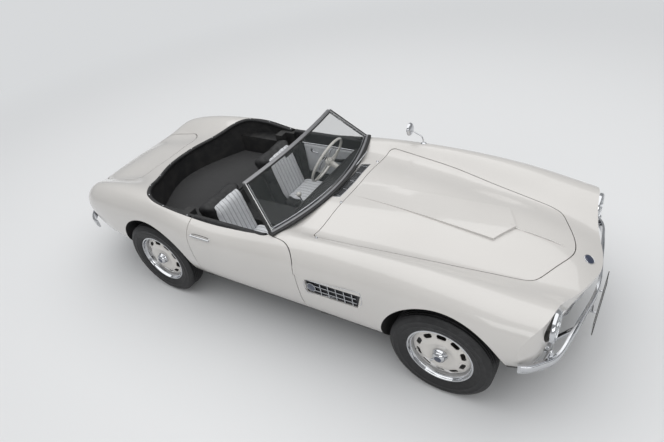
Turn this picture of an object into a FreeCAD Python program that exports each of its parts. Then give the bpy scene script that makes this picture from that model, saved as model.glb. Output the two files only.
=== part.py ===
import FreeCAD, Part
import math
import os
import Sketcher
from FreeCAD import Placement, Rotation, Vector

os.makedirs("parts", exist_ok=True)
doc = FreeCAD.newDocument("roadster")

# Driving dimensions, in millimetres and degrees.
SIZES = {
    "length": 4380,
    "datum_ahead": 53,
    "width": 1650,
    "front_axle": 1375,
    "rear_axle": -1105,
    "front_track": 1445,
    "rear_track": 1425,
    "axle_height": 338,
    "tyre_radius": 338,
    "tyre_width": 165,
    "rim_radius": 218,
    "rim_width": 118,
    "rim_lip": 12,
    "hub_radius": 56,
    "hub_bore": 22,
    "arch_radius": 395,
    "arch_height": 350,
    "front_well_inner": 480,
    "rear_well_inner": 592,
    "panel_gap": 6,
    "panel_thickness": 26,
    "seat_gap": 0.3,
    "seat_front": 25,
    "door_front": 384,
    "door_swing_radius": 984,
    "door_bottom": 330,
    "door_inner": 665,
    "hinge_x": 376,
    "hinge_y": 816,
    "bonnet_hinge_z": 884,
    "boot_hinge_z": 826,
    "cockpit_half_width": 700,
    "ledge_height": 832,
    "cabin_half_width": 650,
    "firewall": 432,
    "seat_back_wall": -800,
    "cabin_floor": 262,
    "bonnet_rear": 414,
    "bonnet_front": 1952,
    "boot_front": -1545,
    "boot_rear": -2105,
    "boot_half_width": 430,
    "bay_half_width": 430,
    "bay_front": 1800,
    "screen_top_x": -100,
    "screen_top_z": 1165,
    "screen_top_y": 559,
    "screen_base_y": 676,
    "screen_base_x": 152,
    "screen_bow": 126,
    "screen_rail": 13,
    "glass": 5,
    "steering_x": -55,
    "steering_y": 350,
    "steering_z": 825,
    "steering_radius": 203,
    "column_tilt": 28,
    "kingpin_y": 680,
    "lamp_y": 581,
    "lamp_z": 672,
    "lamp_radius": 98,
    "rail_y": 380,
    "rail_width": 80,
    "rail_bottom": 165,
    "rail_top": 240,
    "engine_length": 620,
    "engine_width": 560,
    "engine_height": 520,
}
sheet = doc.addObject("Spreadsheet::Sheet", "sizes")
for row, (alias, number) in enumerate(SIZES.items(), start=1):
    sheet.set(f"A{row}", alias)
    sheet.set(f"B{row}", str(number))
    sheet.setAlias(f"B{row}", alias)
doc.recompute()


def size(alias):
    return float(sheet.get(alias))


nodes = {}


def keep(name, shape):
    """Stores a finished shape as a labelled sub-part, moved from the datum to the middle of the length."""
    feature = doc.addObject("Part::Feature", name)
    feature.Label = name
    feature.Shape = shape.translated(Vector(size("datum_ahead"), 0, 0))
    nodes[name] = feature
    return feature


# Small shape helpers. A box runs from its low corner to its high corner.
def block(low, high):
    span = Vector(*high) - Vector(*low)
    return Part.makeBox(span.x, span.y, span.z, Vector(*low))


def rod(start, end, radius):
    start, end = Vector(*start), Vector(*end)
    return Part.makeCylinder(radius, (end - start).Length, start, end - start)


def union(shapes):
    """Joins shapes one after another."""
    joined = shapes[0]
    for shape in shapes[1:]:
        joined = joined.fuse(shape)
    return joined.removeSplitter()


def mirrored(shape):
    return shape.mirror(Vector(0, 0, 0), Vector(0, 1, 0))


def both_sides(shape):
    return Part.makeCompound([shape, mirrored(shape)])


def smooth(points, closed=False):
    curve = Part.BSplineCurve()
    curve.interpolate(Points=[Vector(*p) for p in points], PeriodicFlag=closed)
    return curve.toShape()


# Design lines of the body. Each is a fair curve of one coordinate along the car.
def fair(points):
    curve = Part.BSplineCurve()
    curve.interpolate(Points=[Vector(x, v, 0) for x, v in points], Parameters=[x for x, v in points])
    return lambda x: curve.value(x).y


centre_z = fair([(-2215, 560), (-2200, 605), (-2175, 648), (-2130, 688), (-2040, 726), (-1950, 752),
                 (-1780, 781),
                 (-1640, 797), (-1450, 820), (-1200, 844), (-900, 860), (-500, 868), (0, 872), (414, 868),
                 (700, 866),
                 (1000, 854), (1300, 836), (1588, 815), (1750, 788), (1919, 743), (2033, 692), (2110, 648),
                 (2170, 612)])
edge_y = fair([(-2215, 70), (-2200, 150), (-2175, 215), (-2130, 280), (-2040, 345), (-1950, 385),
               (-1640, 400),
               (-1450, 440), (-1200, 510), (-900, 555), (-500, 565), (0, 575), (414, 592), (700, 562),
               (1045, 508),
               (1255, 466), (1633, 397), (1820, 345), (1950, 325), (2110, 300), (2170, 290)])
edge_z = fair([(-2215, 558), (-2200, 602), (-2175, 642), (-2130, 681), (-2040, 718), (-1950, 743),
               (-1780, 772),
               (-1640, 797), (-1450, 845), (-1200, 886), (-900, 882), (-500, 856), (0, 868), (414, 876),
               (700, 862),
               (1045, 833), (1255, 806), (1633, 762), (1820, 733), (1950, 704), (2110, 642), (2170, 608)])
crown_y = fair([(-2215, 120), (-2200, 240), (-2175, 335), (-2130, 430), (-2080, 505), (-2040, 550),
                (-2000, 580),
                (-1950, 602), (-1880, 619), (-1780, 632), (-1650, 645), (-1500, 657), (-1300, 675),
                (-1105, 688),
                (-900, 694), (-700, 690), (-500, 685), (-200, 682), (100, 675), (400, 660), (700, 650),
                (1000, 640),
                (1300, 622), (1550, 600), (1750, 584), (1900, 573), (2000, 567), (2170, 560)])
crown_z = fair([(-2215, 552), (-2200, 590), (-2175, 628), (-2130, 670), (-2080, 702), (-2040, 727),
                (-2000, 757),
                (-1950, 792), (-1880, 827), (-1780, 855), (-1650, 878), (-1500, 896), (-1300, 907),
                (-1105, 909),
                (-900, 900), (-700, 866), (-500, 846), (-200, 854), (100, 880), (400, 900), (700, 908),
                (1000, 903),
                (1300, 882), (1550, 848), (1750, 812), (1900, 790), (2000, 777), (2170, 760)])
widest_y = fair([(-2215, 150), (-2200, 300), (-2175, 410), (-2130, 520), (-2080, 594), (-2040, 638),
                 (-2000, 670),
                 (-1950, 702), (-1850, 738), (-1700, 764), (-1500, 780), (-1105, 793), (-700, 808),
                 (-300, 814),
                 (100, 815), (500, 814), (980, 812), (1375, 808), (1700, 796), (1900, 768), (2050, 738),
                 (2170, 712)])
widest_z = fair([(-2215, 530), (-2175, 562), (-2080, 588), (-1950, 603), (-1700, 608), (-1105, 605),
                 (-700, 595),
                 (0, 605), (400, 620), (980, 630), (1375, 635), (1700, 628), (1900, 615), (2170, 600)])
lower_y = fair([(-2215, 135), (-2200, 270), (-2175, 368), (-2130, 460), (-2040, 562), (-1950, 634),
                (-1700, 716),
                (-1105, 756), (-500, 768), (400, 768), (1375, 768), (1700, 745), (1900, 710), (2170, 650)])
lower_z = fair([(-2215, 508), (-2175, 495), (-2080, 472), (-1950, 445), (-1700, 415), (-1105, 380),
                (-500, 368),
                (400, 368), (1375, 385), (1900, 405), (2170, 420)])
sill_y = fair([(-2215, 105), (-2200, 210), (-2175, 295), (-2130, 378), (-2040, 475), (-1950, 552),
               (-1700, 625),
               (-1105, 662), (-500, 674), (400, 674), (1375, 672), (1700, 650), (1900, 615), (2170, 560)])
sill_z = fair([(-2215, 488), (-2175, 440), (-2080, 396), (-1950, 364), (-1700, 320), (-1105, 262),
               (-500, 245),
               (400, 245), (1375, 255), (1700, 282), (1900, 305), (2170, 335)])
SHOULDER = 0.5 ** (1 / 2.4)
STATIONS = [-2206, -2190, -2160, -2120, -2070, -2010, -1950, -1870, -1770, -1640, -1480, -1300, -1105,
            -900, -700,
            -500, -200, 100, 400, 700, 1000, 1300, 1550, 1750, 1900, 2000, 2090, 2170]
stretch = size("length") / 4380
widen = size("width") / 1650


def half_section(x):
    """The left half of a cross-section, from the centre line down to the sill."""
    crown = (crown_y(x), crown_z(x))
    widest = (widest_y(x), widest_z(x))
    shoulder = tuple(low + (high - low) * SHOULDER for low,
                     high in ((crown[0], widest[0]), (widest[1], crown[1])))
    flank = (edge_y(x) * 0.5, centre_z(x) + (edge_z(x) - centre_z(x)) * 0.3)
    half = [(0, centre_z(x)), flank, (edge_y(x), edge_z(x)), crown, shoulder, widest,
            (lower_y(x), lower_z(x)),
            (sill_y(x), sill_z(x))]
    return [Vector(x * stretch, y * widen, z) for y, z in half]


def both_halves(half):
    return [Vector(p.x, -p.y, p.z) for p in reversed(half[1:])] + half


SECTION_POINTS = 37


def section(x):
    """One closed cross-section of the body: a spline over the top and a straight bottom."""
    shape_line = Part.BSplineCurve()
    shape_line.interpolate(Points=both_halves(half_section(x)))
    points = shape_line.toShape().discretize(Number=SECTION_POINTS)
    top = Part.BSplineCurve()
    top.interpolate(Points=points, Parameters=list(range(SECTION_POINTS)))
    return Part.Wire([top.toShape(), Part.makeLine(points[-1], points[0])])


skin = Part.makeLoft([section(x) for x in STATIONS], True, False)

# The nose is bowed in plan and leans back below its lip. Its wing fronts stay nearly upright.
NOSE_PLAN = [(0, 2110), (203, 2066), (400, 2004), (490, 1984), (585, 1971), (680, 1944), (748, 1888),
             (795, 1800),
             (832, 1640)]
LEAN = [(640, 0, 0), (605, 45, 2), (520, 75, 12), (420, 110, 50), (320, 190, 130), (200, 340, 300)]


def nose_wire(z, centre_lean, wing_lean):
    points = []
    for y, x in NOSE_PLAN:
        share = min(1.0, max(0.0, (y - 360) / 140))
        lean = centre_lean + (wing_lean - centre_lean) * share
        points.append(((x - lean) * stretch, y * widen, z))
    full = [(x, -y, z) for x, y, z in reversed(points[1:])] + points
    curve = Part.BSplineCurve()
    curve.interpolate(Points=[Vector(*p) for p in full], Parameters=[p[1] for p in full])
    bow = curve.toShape()
    ahead = size("length")
    start, end = Vector(*full[0]), Vector(*full[-1])
    corners = [end, Vector(ahead, end.y, z), Vector(ahead, start.y, z), start]
    return Part.Wire([bow] + [Part.makeLine(a, b) for a, b in zip(corners, corners[1:])])


lip_height = LEAN[0][0]
above_lip = Part.Face(nose_wire(lip_height, 0, 0)).extrude(Vector(0, 0, 700))
below_lip = Part.makeLoft([nose_wire(*level) for level in LEAN], True, False)
skin = skin.cut(above_lip).cut(below_lip)


def height_at(x, y):
    """The height of the body's upper surface over a point of the ground."""
    probe = Part.makeLine(Vector(x, y, 500), Vector(x, y, 1500)).common(skin)
    return probe.BoundBox.ZMax


def shifted(points, distance):
    """A plan line's points, each moved square to the line and to its right."""
    moved = []
    for i, point in enumerate(points):
        heading = points[min(i + 1, len(points) - 1)] - points[max(i - 1, 0)]
        moved.append(point + Vector(heading.y, -heading.x, 0).normalize() * distance)
    return moved


gap = size("panel_gap")
fit = size("seat_gap")
thick = size("panel_thickness")
sky = 1400
deck = 600

# Bonnet: straight rear edge, rounded rear corners, sides that taper to a round front.
rear = size("bonnet_rear")
front = size("bonnet_front")
BONNET_SIDE = [(470, 592), (700, 562), (1045, 508), (1255, 466), (1450, 430), (1633, 396), (1740, 372),
               (1795, 344),
               (1832, 292), (1885, 188), (1930, 94)]


def bonnet_wire(inset):
    side = [Vector(x, y, 0) for x, y in BONNET_SIDE]
    full = side + [Vector(front, 0, 0)] + [Vector(p.x, -p.y, 0) for p in reversed(side)]
    full = shifted(full, inset)
    corner = Vector(rear + inset, 548 - inset, 0)
    knee = Part.Arc(corner, Vector(rear + 12 + inset, 580 - inset, 0), full[0]).toShape()
    across = Part.makeLine(Vector(corner.x, -corner.y, 0), corner)
    return Part.Wire(Part.__sortEdges__([knee, smooth(full), mirrored(knee), across]))


def column(wire, low, high):
    face = Part.Face(wire)
    face.translate(Vector(0, 0, low))
    return face.extrude(Vector(0, 0, high - low))


bonnet_opening = column(bonnet_wire(0), deck, sky)
bonnet_zone = column(bonnet_wire(gap), deck, sky)
under_bonnet = skin.translated(Vector(-10, 0, -thick))
bonnet = skin.common(bonnet_zone).cut(under_bonnet)

# The bonnet's raised dome: it starts flush at the cowl, widens forwards and ends in a stepped V.
DOME = [(440, 74), (1498, 167), (1588, 0)]
DOME_RISE = 18
dome_tip = DOME[-1][0]
dome_outline = [Vector(x, y, 0) for x, y in DOME] + [Vector(x, -y, 0) for x, y in reversed(DOME[:-1])]
dome_slope = math.degrees(math.atan(DOME_RISE / (dome_tip - rear)))
lifted = skin.rotated(Vector(rear, 0, centre_z(rear)), Vector(0, -1, 0), dome_slope)
dome = lifted.common(column(Part.makePolygon(dome_outline + dome_outline[:1]), deck, sky)).cut(under_bonnet)
bonnet = bonnet.fuse(dome)
ledge = skin.translated(Vector(-14, 0, -thick - gap))
bonnet_recess = bonnet_opening.cut(ledge)

# Boot lid: as the bonnet, reaching back onto the tail.
BOOT_FRONT = size("boot_front")
BOOT_REAR = size("boot_rear")
BOOT_HALF = size("boot_half_width")
BOOT_BOW = 8


def boot_wire(inset):
    x0, x1, y = BOOT_FRONT - inset, BOOT_REAR + inset, BOOT_HALF - inset
    round_front, round_rear = 120, 170
    k = 1 - math.sqrt(0.5)
    bow = BOOT_BOW
    left = Vector(x0 - bow, y - round_front, 0)
    edges = [Part.Arc(Vector(left.x, -left.y, 0), Vector(x0, 0, 0), left).toShape()]
    turn = Vector(x0 - bow - round_front, y, 0)
    knee = Part.Arc(left, Vector(left.x - round_front * k, y - round_front * k, 0), turn).toShape()
    back = Vector(x1 + round_rear, y, 0)
    heel = Part.Arc(back, Vector(x1 + round_rear * k, y - round_rear * k, 0),
                    Vector(x1, y - round_rear, 0)).toShape()
    edges += [knee, Part.makeLine(turn, back), heel]
    edges += [edge.mirror(Vector(0, 0, 0), Vector(0, 1, 0))
              for edge in (knee, Part.makeLine(turn, back), heel)]
    edges.append(Part.makeLine(Vector(x1, -(y - round_rear), 0), Vector(x1, y - round_rear, 0)))
    return Part.Wire(Part.__sortEdges__(edges))


boot_opening = column(boot_wire(0), 400, sky)
boot_zone = column(boot_wire(gap), 400, sky)
boot_lid = skin.common(boot_zone).cut(skin.translated(Vector(16, 0, -thick)))
boot_recess = boot_opening.cut(skin.translated(Vector(20, 0, -thick - gap)))

# Cockpit: widest behind the seats, with a round rear edge. Its front edge runs under the windscreen.
COCKPIT_SIDE = [(138, 640), (120, 688), (0, 699), (-300, 701), (-600, 703), (-850, 712), (-1000, 700),
                (-1130, 640),
                (-1235, 520), (-1335, 350), (-1415, 180), (-1448, 0)]
half_cockpit = [(x, y, 0) for x, y in COCKPIT_SIDE]
cockpit_line = smooth(half_cockpit + [(x, -y, z) for x, y, z in reversed(half_cockpit[:-1])])
screen_foot = Part.Arc(Vector(138, -640, 0), Vector(size("screen_base_x") + size("screen_bow") - 40, 0, 0),
                       Vector(138, 640, 0)).toShape()
cockpit_wire = Part.Wire(Part.__sortEdges__([cockpit_line, screen_foot]))
ledge_z = size("ledge_height")
cockpit_top = column(cockpit_wire, ledge_z, sky)
rear_shelf = column(cockpit_wire, 772, sky).common(block((-1600, -900, 700), (-760, 900, sky)))
cabin_half = size("cabin_half_width")
floor_z = size("cabin_floor")
firewall = size("firewall")
bulkhead = size("seat_back_wall")
narrow_half = size("rear_well_inner") - 12
pillar = -690
scuttle_z = 806
cabin = block((pillar, -cabin_half, floor_z), (firewall - 60, cabin_half, scuttle_z)).fuse([
    column(cockpit_wire, floor_z, sky).common(block((pillar, -cabin_half, floor_z),
                                                    (200, cabin_half, sky))),
    block((bulkhead, -narrow_half, floor_z), (pillar + 10, narrow_half, sky))])
well = column(cockpit_wire, 590, sky).common(block((-1500, -narrow_half, 590),
                                                   (bulkhead, narrow_half, sky)))

# Doors: swung about an upright hinge line near the skin. The rear edge is an arc about that line.
hinge = Vector(size("hinge_x"), size("hinge_y"), 0)
DOOR_SHOULDER = [(138, 668), (142, 692), (200, 703), (279, 720), (340, 757), (372, 800)]


def door_zone(grow):
    """The space of a left door, or of its opening when grown by the shut line's gap."""
    x_front = size("door_front") + grow
    x_rear = -700
    y_in = size("door_inner") - 4 * grow
    y_out = 900
    shoulder = shifted([Vector(x, y, 0) for x, y in DOOR_SHOULDER], grow)
    shoulder[0].y = y_in
    top_face = Part.Wire([smooth(shoulder[1:]), Part.makeLine(shoulder[0], shoulder[1]),
                          Part.makeLine(shoulder[-1], Vector(x_front, y_out, 0)),
                          Part.makeLine(Vector(x_front, y_out, 0), Vector(x_rear, y_out, 0)),
                          Part.makeLine(Vector(x_rear, y_out, 0), Vector(x_rear, y_in, 0)),
                          Part.makeLine(Vector(x_rear, y_in, 0), shoulder[0])])
    upper = column(top_face, 700 - grow, sky)
    lower = block((x_rear, y_in, size("door_bottom") - grow), (x_front, y_out, 701 + grow))
    swing = Part.makeCylinder(size("door_swing_radius") + grow, sky, hinge)
    return upper.fuse(lower).common(swing)


door_space = door_zone(gap)
door_left = skin.common(door_zone(0)).cut(cockpit_top)


# Hinge knuckles of the panels, round their joints' axes and under the skin, each in a socket of the body.
def knuckle(start, end, radius, inward, grow=0):
    start, end, inward = Vector(*start), Vector(*end), Vector(*inward)
    spread = (end - start).normalize() * grow
    cover = skin.translated(inward.normalize() * (KNUCKLE_COVER - grow))
    return rod(start - spread, end + spread, radius + grow).common(cover)


KNUCKLE_COVER = 9
bonnet_hinge_z, boot_hinge_z = size("bonnet_hinge_z"), size("boot_hinge_z")
boot_pin = BOOT_FRONT - BOOT_BOW
HINGES = {"bonnet": ((rear, 300, bonnet_hinge_z), (rear, 360, bonnet_hinge_z), 36, (0, 0, -1)),
          "boot_lid": ((boot_pin, 180, boot_hinge_z), (boot_pin, 240, boot_hinge_z), 36, (0, 0, -1)),
          "door_low": ((hinge.x, hinge.y, 470), (hinge.x, hinge.y, 510), 45, (0, -1, 0)),
          "door_high": ((hinge.x, hinge.y, 640), (hinge.x, hinge.y, 680), 45, (0, -1, 0))}
bonnet_knuckle, boot_knuckle = knuckle(*HINGES["bonnet"]), knuckle(*HINGES["boot_lid"])
bonnet = union([bonnet, bonnet_knuckle, mirrored(bonnet_knuckle)])
boot_lid = union([boot_lid, boot_knuckle, mirrored(boot_knuckle)])
door_left = union([door_left, knuckle(*HINGES["door_low"]), knuckle(*HINGES["door_high"])])
sockets = [knuckle(*place, grow=fit) for place in HINGES.values()]

# Wheel wells, engine bay, boot and the tunnel of the rear axle.
arch = size("arch_radius")
arch_z = size("arch_height")
front_x = size("front_axle")
rear_x = size("rear_axle")
front_well = rod((front_x, size("front_well_inner"), arch_z), (front_x, 1000, arch_z), arch)
rear_well = rod((rear_x, size("rear_well_inner"), arch_z), (rear_x, 1000, arch_z), arch)
bay = size("bay_half_width")
bay_floor = 500
engine_bay = block((firewall + 12, -bay, 0), (size("bay_front"), bay, bay_floor)).fuse(
    column(bonnet_wire(30), bay_floor, 900).common(block((firewall + 30, -bay, 0),
                                                         (size("bay_front"), bay, 900))))
axle_space = block((-1440, -570, 0), (-815, 570, 574))
boot_box = block((-2030, -480, 445), (-1475, 480, 640))
boot_space = boot_box.fuse(column(boot_wire(30), 500,
                                  sky).common(block((-2060, -500, 500), (-1475, 500, sky))))
lamp_x = 1973
lamp_pocket = rod((lamp_x - 90, size("lamp_y"), size("lamp_z")),
                  (lamp_x + 60, size("lamp_y"), size("lamp_z")),
                  size("lamp_radius"))
grille_low, grille_high, grille_inner, grille_outer = 465, 612, 50, 430
grille_opening = block((1840, grille_inner, grille_low), (2300, grille_outer, grille_high))
vent_low, vent_high, vent_rear, vent_front, vent_depth = 576, 692, 462, 884, 796
vent_slant = 34
vent_corners = [(vent_rear, vent_low), (vent_front - vent_slant, vent_low), (vent_front, vent_high),
                (vent_rear, vent_high)]


def vent_form(inset, depth, out):
    """A plate in the outline of the side vent, from one depth to another."""
    points = [Vector(x + (inset if x == vent_rear else -inset), depth,
                     z + (inset if z == vent_low else -inset))
              for x, z in vent_corners]
    return Part.Face(Part.makePolygon(points + points[:1])).extrude(Vector(0, out - depth, 0))


side_recess = vent_form(0, vent_depth, 1000)
COWL_VENT = [(300, -150), (300, 320), (366, 336), (372, 90), (366, -130)]
cowl_line = [Vector(x, y, 0) for x, y in COWL_VENT]
cowl_depth = 14
cowl_column = column(Part.makePolygon(cowl_line + cowl_line[:1]), deck, sky)
cowl_recess = cowl_column.cut(skin.translated(Vector(0, 0, -cowl_depth)))
arm_window = block((front_x - 180, 380, 190), (front_x + 180, 560, 486))
axle_window = block((rear_x - 70, 500, 0), (rear_x + 70, 640, 430))

body = skin.cut(bonnet_recess).cut(boot_recess).cut(cowl_recess)
body = body.cut(cockpit_top).cut(rear_shelf).cut(cabin).cut(well)
body = body.cut(engine_bay).cut(axle_space).cut(boot_space)
for shape in [door_space, front_well, rear_well, lamp_pocket, grille_opening, side_recess,
              arm_window, axle_window] + sockets:
    body = body.cut(shape).cut(mirrored(shape))
beyond = size("length")
PANELS = {"front_body": (firewall - 30, beyond), "cabin_shell": (pillar, firewall - 30),
          "rear_body": (-beyond, pillar)}
for name, (start, end) in PANELS.items():
    panel = body.common(block((start + fit / 2, -beyond, 0), (end - fit / 2, beyond, sky)))
    keep(name, panel)
keep("bonnet", bonnet)
keep("boot_lid", boot_lid)
keep("door_left", door_left)
keep("door_right", mirrored(door_left))


# Sketch helpers. A profile's corners are given as formulas on the sheet, which bind its constraints.
def plane_of(body, role):
    return next(item for item in body.Origin.OriginFeatures if item.Role == role)


def profile(body, role, name, corners):
    sketch = body.newObject("Sketcher::SketchObject", name)
    sketch.AttachmentSupport = [(plane_of(body, role), "")]
    sketch.MapMode = "FlatFace"
    places = [[float(sketch.evalExpression(formula)) for formula in corner] for corner in corners]
    count = len(corners)
    for i, (u, v) in enumerate(places):
        following = places[(i + 1) % count]
        sketch.addGeometry(Part.LineSegment(Vector(u, v, 0), Vector(*following, 0)), False)
    for i, corner in enumerate(corners):
        sketch.addConstraint(Sketcher.Constraint("Coincident", i, 1, (i - 1) % count, 2))
        for kind, formula, place in zip(("DistanceX", "DistanceY"), corner, places[i]):
            index = sketch.addConstraint(Sketcher.Constraint(kind, -1, 1, i, 1, place))
            sketch.setExpression(f"Constraints[{index}]", formula)
    return sketch


def turned(name, corners):
    """A body turned about its own upright axis from a profile of radius and height."""
    body = doc.addObject("PartDesign::Body", name)
    sketch = profile(body, "XZ_Plane", name + "_profile", corners)
    revolution = body.newObject("PartDesign::Revolution", name + "_turn")
    revolution.Profile = sketch
    revolution.ReferenceAxis = (sketch, ["V_Axis"])
    revolution.Angle = 360
    doc.recompute()
    return body


rim_r = "sizes.rim_radius"
rim_w = "sizes.rim_width / 2"
wheel_body = turned("wheel_form", [
    ("sizes.hub_bore", "34"), ("sizes.hub_bore", "-20"), ("sizes.hub_radius", "-20"),
    ("sizes.hub_radius", "8"), (f"{rim_r} - 112", "20"), (f"{rim_r} - 46", "20"),
    (f"{rim_r} - 12", f"-{rim_w} - 7"), (rim_r, f"-{rim_w} - 5"), (f"{rim_r} - 12", f"1 - {rim_w}"),
    (f"{rim_r} - 34", "0"), (f"{rim_r} - 12", f"{rim_w} - 1"), (rim_r, f"{rim_w} + 5"),
    (f"{rim_r} - 12", f"{rim_w} + 7"), (f"{rim_r} - 42", "26"), (f"{rim_r} - 112", "26"),
    ("sizes.hub_radius + 4", "14"), ("sizes.hub_radius - 6", "34")])

SLOTS = 10
slot_sketch = wheel_body.newObject("Sketcher::SketchObject", "slot_outline")
slot_sketch.AttachmentSupport = [(plane_of(wheel_body, "XY_Plane"), "")]
slot_sketch.MapMode = "FlatFace"
slot_circle = size("rim_radius") - 68
slot_long, slot_wide, slot_corner = 27, 11, 6
quarter = [(slot_wide, slot_long - slot_corner), (slot_wide - slot_corner, slot_long)]
half_slot = quarter + [(-u, v) for u, v in reversed(quarter)]
slot_corners = [(slot_circle + u, v) for u, v in half_slot + [(-u, -v) for u, v in half_slot]]
for start, stop in zip(slot_corners, slot_corners[1:] + slot_corners[:1]):
    slot_sketch.addGeometry(Part.LineSegment(Vector(*start, 0), Vector(*stop, 0)), False)
slot_pocket = wheel_body.newObject("PartDesign::Pocket", "slot")
slot_pocket.Profile = slot_sketch
slot_pocket.Type = 1
slot_pocket.Midplane = True
doc.recompute()
slot_pattern = wheel_body.newObject("PartDesign::PolarPattern", "slots")
slot_pattern.Originals = [slot_pocket]
slot_pattern.Axis = (slot_sketch, ["N_Axis"])
slot_pattern.Angle = 360
slot_pattern.Occurrences = SLOTS
wheel_body.Tip = slot_pattern
doc.recompute()


# Tyre: rings of flats, from bead to bead over the tread.
TYRE_FLATS = 64
tyre_radius, half_tread = size("tyre_radius"), size("tyre_width") / 2
rim_radius, half_rim = size("rim_radius"), size("rim_width") / 2
bead = (rim_radius - 11.7, half_rim - 2)
TYRE_SIDE = [bead, (rim_radius + 2, half_rim + 3.6), (tyre_radius - 58, half_tread),
             (tyre_radius, half_tread - 24)]


def flats_ring(radius, height):
    """A many-sided ring whose corners lie on a circle."""
    turns = [2 * math.pi * (k % TYRE_FLATS) / TYRE_FLATS for k in range(TYRE_FLATS + 1)]
    return Part.makePolygon([Vector(radius * math.cos(turn), radius * math.sin(turn), height)
                             for turn in turns])


tyre_rings = [flats_ring(r, h) for r, h in TYRE_SIDE + [(r, -h) for r, h in reversed(TYRE_SIDE)]]
tyre_outside = Part.makeLoft(tyre_rings, True, True)
tyre_form = tyre_outside.cut(Part.makeLoft([tyre_rings[0], tyre_rings[-1]], True, True))

# Hub nut: a cone with two ears, seated on the hub.
nut_profile = Part.makePolygon([Vector(0, 0, 34), Vector(40, 0, 34), Vector(34, 0, 58), Vector(14, 0, 74),
                                Vector(0, 0, 76), Vector(0, 0, 34)])
nut = Part.Face(nut_profile).revolve(Vector(0, 0, 0), Vector(0, 0, 1), 360)
ear = Part.makeCone(13, 8, 62, Vector(20, 0, 56), Vector(1, 0, 0.25))
nut = nut.fuse([ear, ear.rotated(Vector(0, 0, 0), Vector(0, 0, 1), 180)])

axle_z = size("axle_height")
WHEELS = {"front_left": (front_x, size("front_track") / 2),
          "front_right": (front_x, -size("front_track") / 2),
          "rear_left": (rear_x, size("rear_track") / 2), "rear_right": (rear_x, -size("rear_track") / 2)}
for place, (x, y) in WHEELS.items():
    outward = -90 if y > 0 else 90
    seat = Placement(Vector(x, y, axle_z), Rotation(Vector(1, 0, 0), outward))
    tyre_shape = tyre_form.copy()
    tyre_shape.Placement = seat
    wheel_shape = wheel_body.Shape.fuse(nut.rotated(Vector(0, 0, 0), Vector(0, 0, 1), 60)).removeSplitter()
    wheel_shape.Placement = seat
    keep(f"tyre_{place}", tyre_shape)
    keep(f"wheel_{place}", wheel_shape)

# Floor pan: floor, tunnel, firewall, seat bulkhead and the well behind it.
sheet_metal = 12
inside = cabin_half - fit
tunnel_half, tunnel_top = 130, 430
floor_top = floor_z + sheet_metal
slim = narrow_half - fit
pan = union([
    block((pillar + fit, -inside, floor_z + fit), (firewall - 60 - fit, inside, floor_top)),
    block((bulkhead + fit, -slim, floor_z + fit), (pillar + 20, slim, floor_top)),
    block((bulkhead + fit, -tunnel_half, floor_z + fit), (firewall - 60 - fit, tunnel_half, tunnel_top)),
    block((bulkhead + fit, -slim, floor_z + fit), (bulkhead + sheet_metal, slim, 585)),
    block((firewall - 60 - sheet_metal, -inside, floor_z + fit), (firewall - 60 - fit, inside, 640))])
keep("floor_pan", pan)
keep("cockpit_liner", column(cockpit_wire, 590 + fit,
                             602).common(block((-1500, -slim, 500), (bulkhead - fit, slim, 700))))

# Chassis: two box rails, cross members and short outriggers under the floor.
rail_y, rail_half = size("rail_y"), size("rail_width") / 2
rail_low, rail_high = size("rail_bottom"), size("rail_top")
rail_rear, rail_front = -1900, 1860
frame_parts = [block((rail_rear, rail_y - rail_half, rail_low),
                     (rail_front, rail_y + rail_half, rail_high)),
               block((rail_rear, -rail_y - rail_half, rail_low),
                     (rail_front, -rail_y + rail_half, rail_high))]
for x in (-1880, -1500, -760, -100, 440, 1330, 1800):
    frame_parts.append(block((x, -rail_y, rail_low + 10), (x + 60, rail_y, rail_high - 5)))
for x in (-760, 380):
    frame_parts.append(block((x, -640, rail_low + 10), (x + 60, 640, rail_high - 5)))
for x in (-760, 380):
    for y in (-600, 600):
        frame_parts.append(block((x + 10, y - 20, rail_high - 10), (x + 50, y + 20, 244.7)))
pipe_y, pipe_z, pipe_r = 250, 198, 21
exhaust_path = rod((-2300, pipe_y, pipe_z), (900, pipe_y, pipe_z), pipe_r + fit)
keep("chassis_frame", union(frame_parts).cut(exhaust_path))

# Engine: one plain block at its real size and place.
engine = doc.addObject("Part::Box", "engine")
engine.setExpression("Length", "sizes.engine_length")
engine.setExpression("Width", "sizes.engine_width")
engine.setExpression("Height", "sizes.engine_height")
engine.setExpression("Placement.Base.x", "sizes.datum_ahead + sizes.front_axle - 690")
engine.setExpression("Placement.Base.y", "-sizes.engine_width / 2")
engine.setExpression("Placement.Base.z", f"sizes.rail_top + sizes.seat_gap")
doc.recompute()
nodes["engine"] = engine

# Rear axle: a banjo casing between the wheels, carried by two leaf packs on the rails.
rear_half = size("rear_track") / 2
hub_end = rear_half + 20
casing = rod((rear_x, -rear_half + 24, axle_z), (rear_x, rear_half - 24, axle_z), 38)
spindle = rod((rear_x, -hub_end, axle_z), (rear_x, hub_end, axle_z), size("hub_bore") - 0.05)
ball = Part.makeSphere(118, Vector(rear_x, 0, axle_z))
springs = [block((rear_x - 420, s * rail_y - 28, rail_high + fit),
                 (rear_x + 260, s * rail_y + 28, rail_high + 34))
           for s in (1, -1)]
seats_of_spring = [block((rear_x - 30, s * rail_y - 30, rail_high + 20),
                         (rear_x + 30, s * rail_y + 30, axle_z))
                   for s in (1, -1)]
keep("rear_axle", union([casing, spindle, ball] + springs + seats_of_spring))

# Front suspension: wishbones from the rails to the upright of each knuckle.
front_half = size("front_track") / 2
king = size("kingpin_y")


def wishbone(side, z_inner, z_outer, y_outer):
    tip = (front_x, side * y_outer, z_outer)
    legs = [rod((front_x + reach, side * (rail_y + 40), z_inner), tip, 14) for reach in (150, -150)]
    return union(legs + [Part.makeSphere(20, Vector(*tip))])


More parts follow.
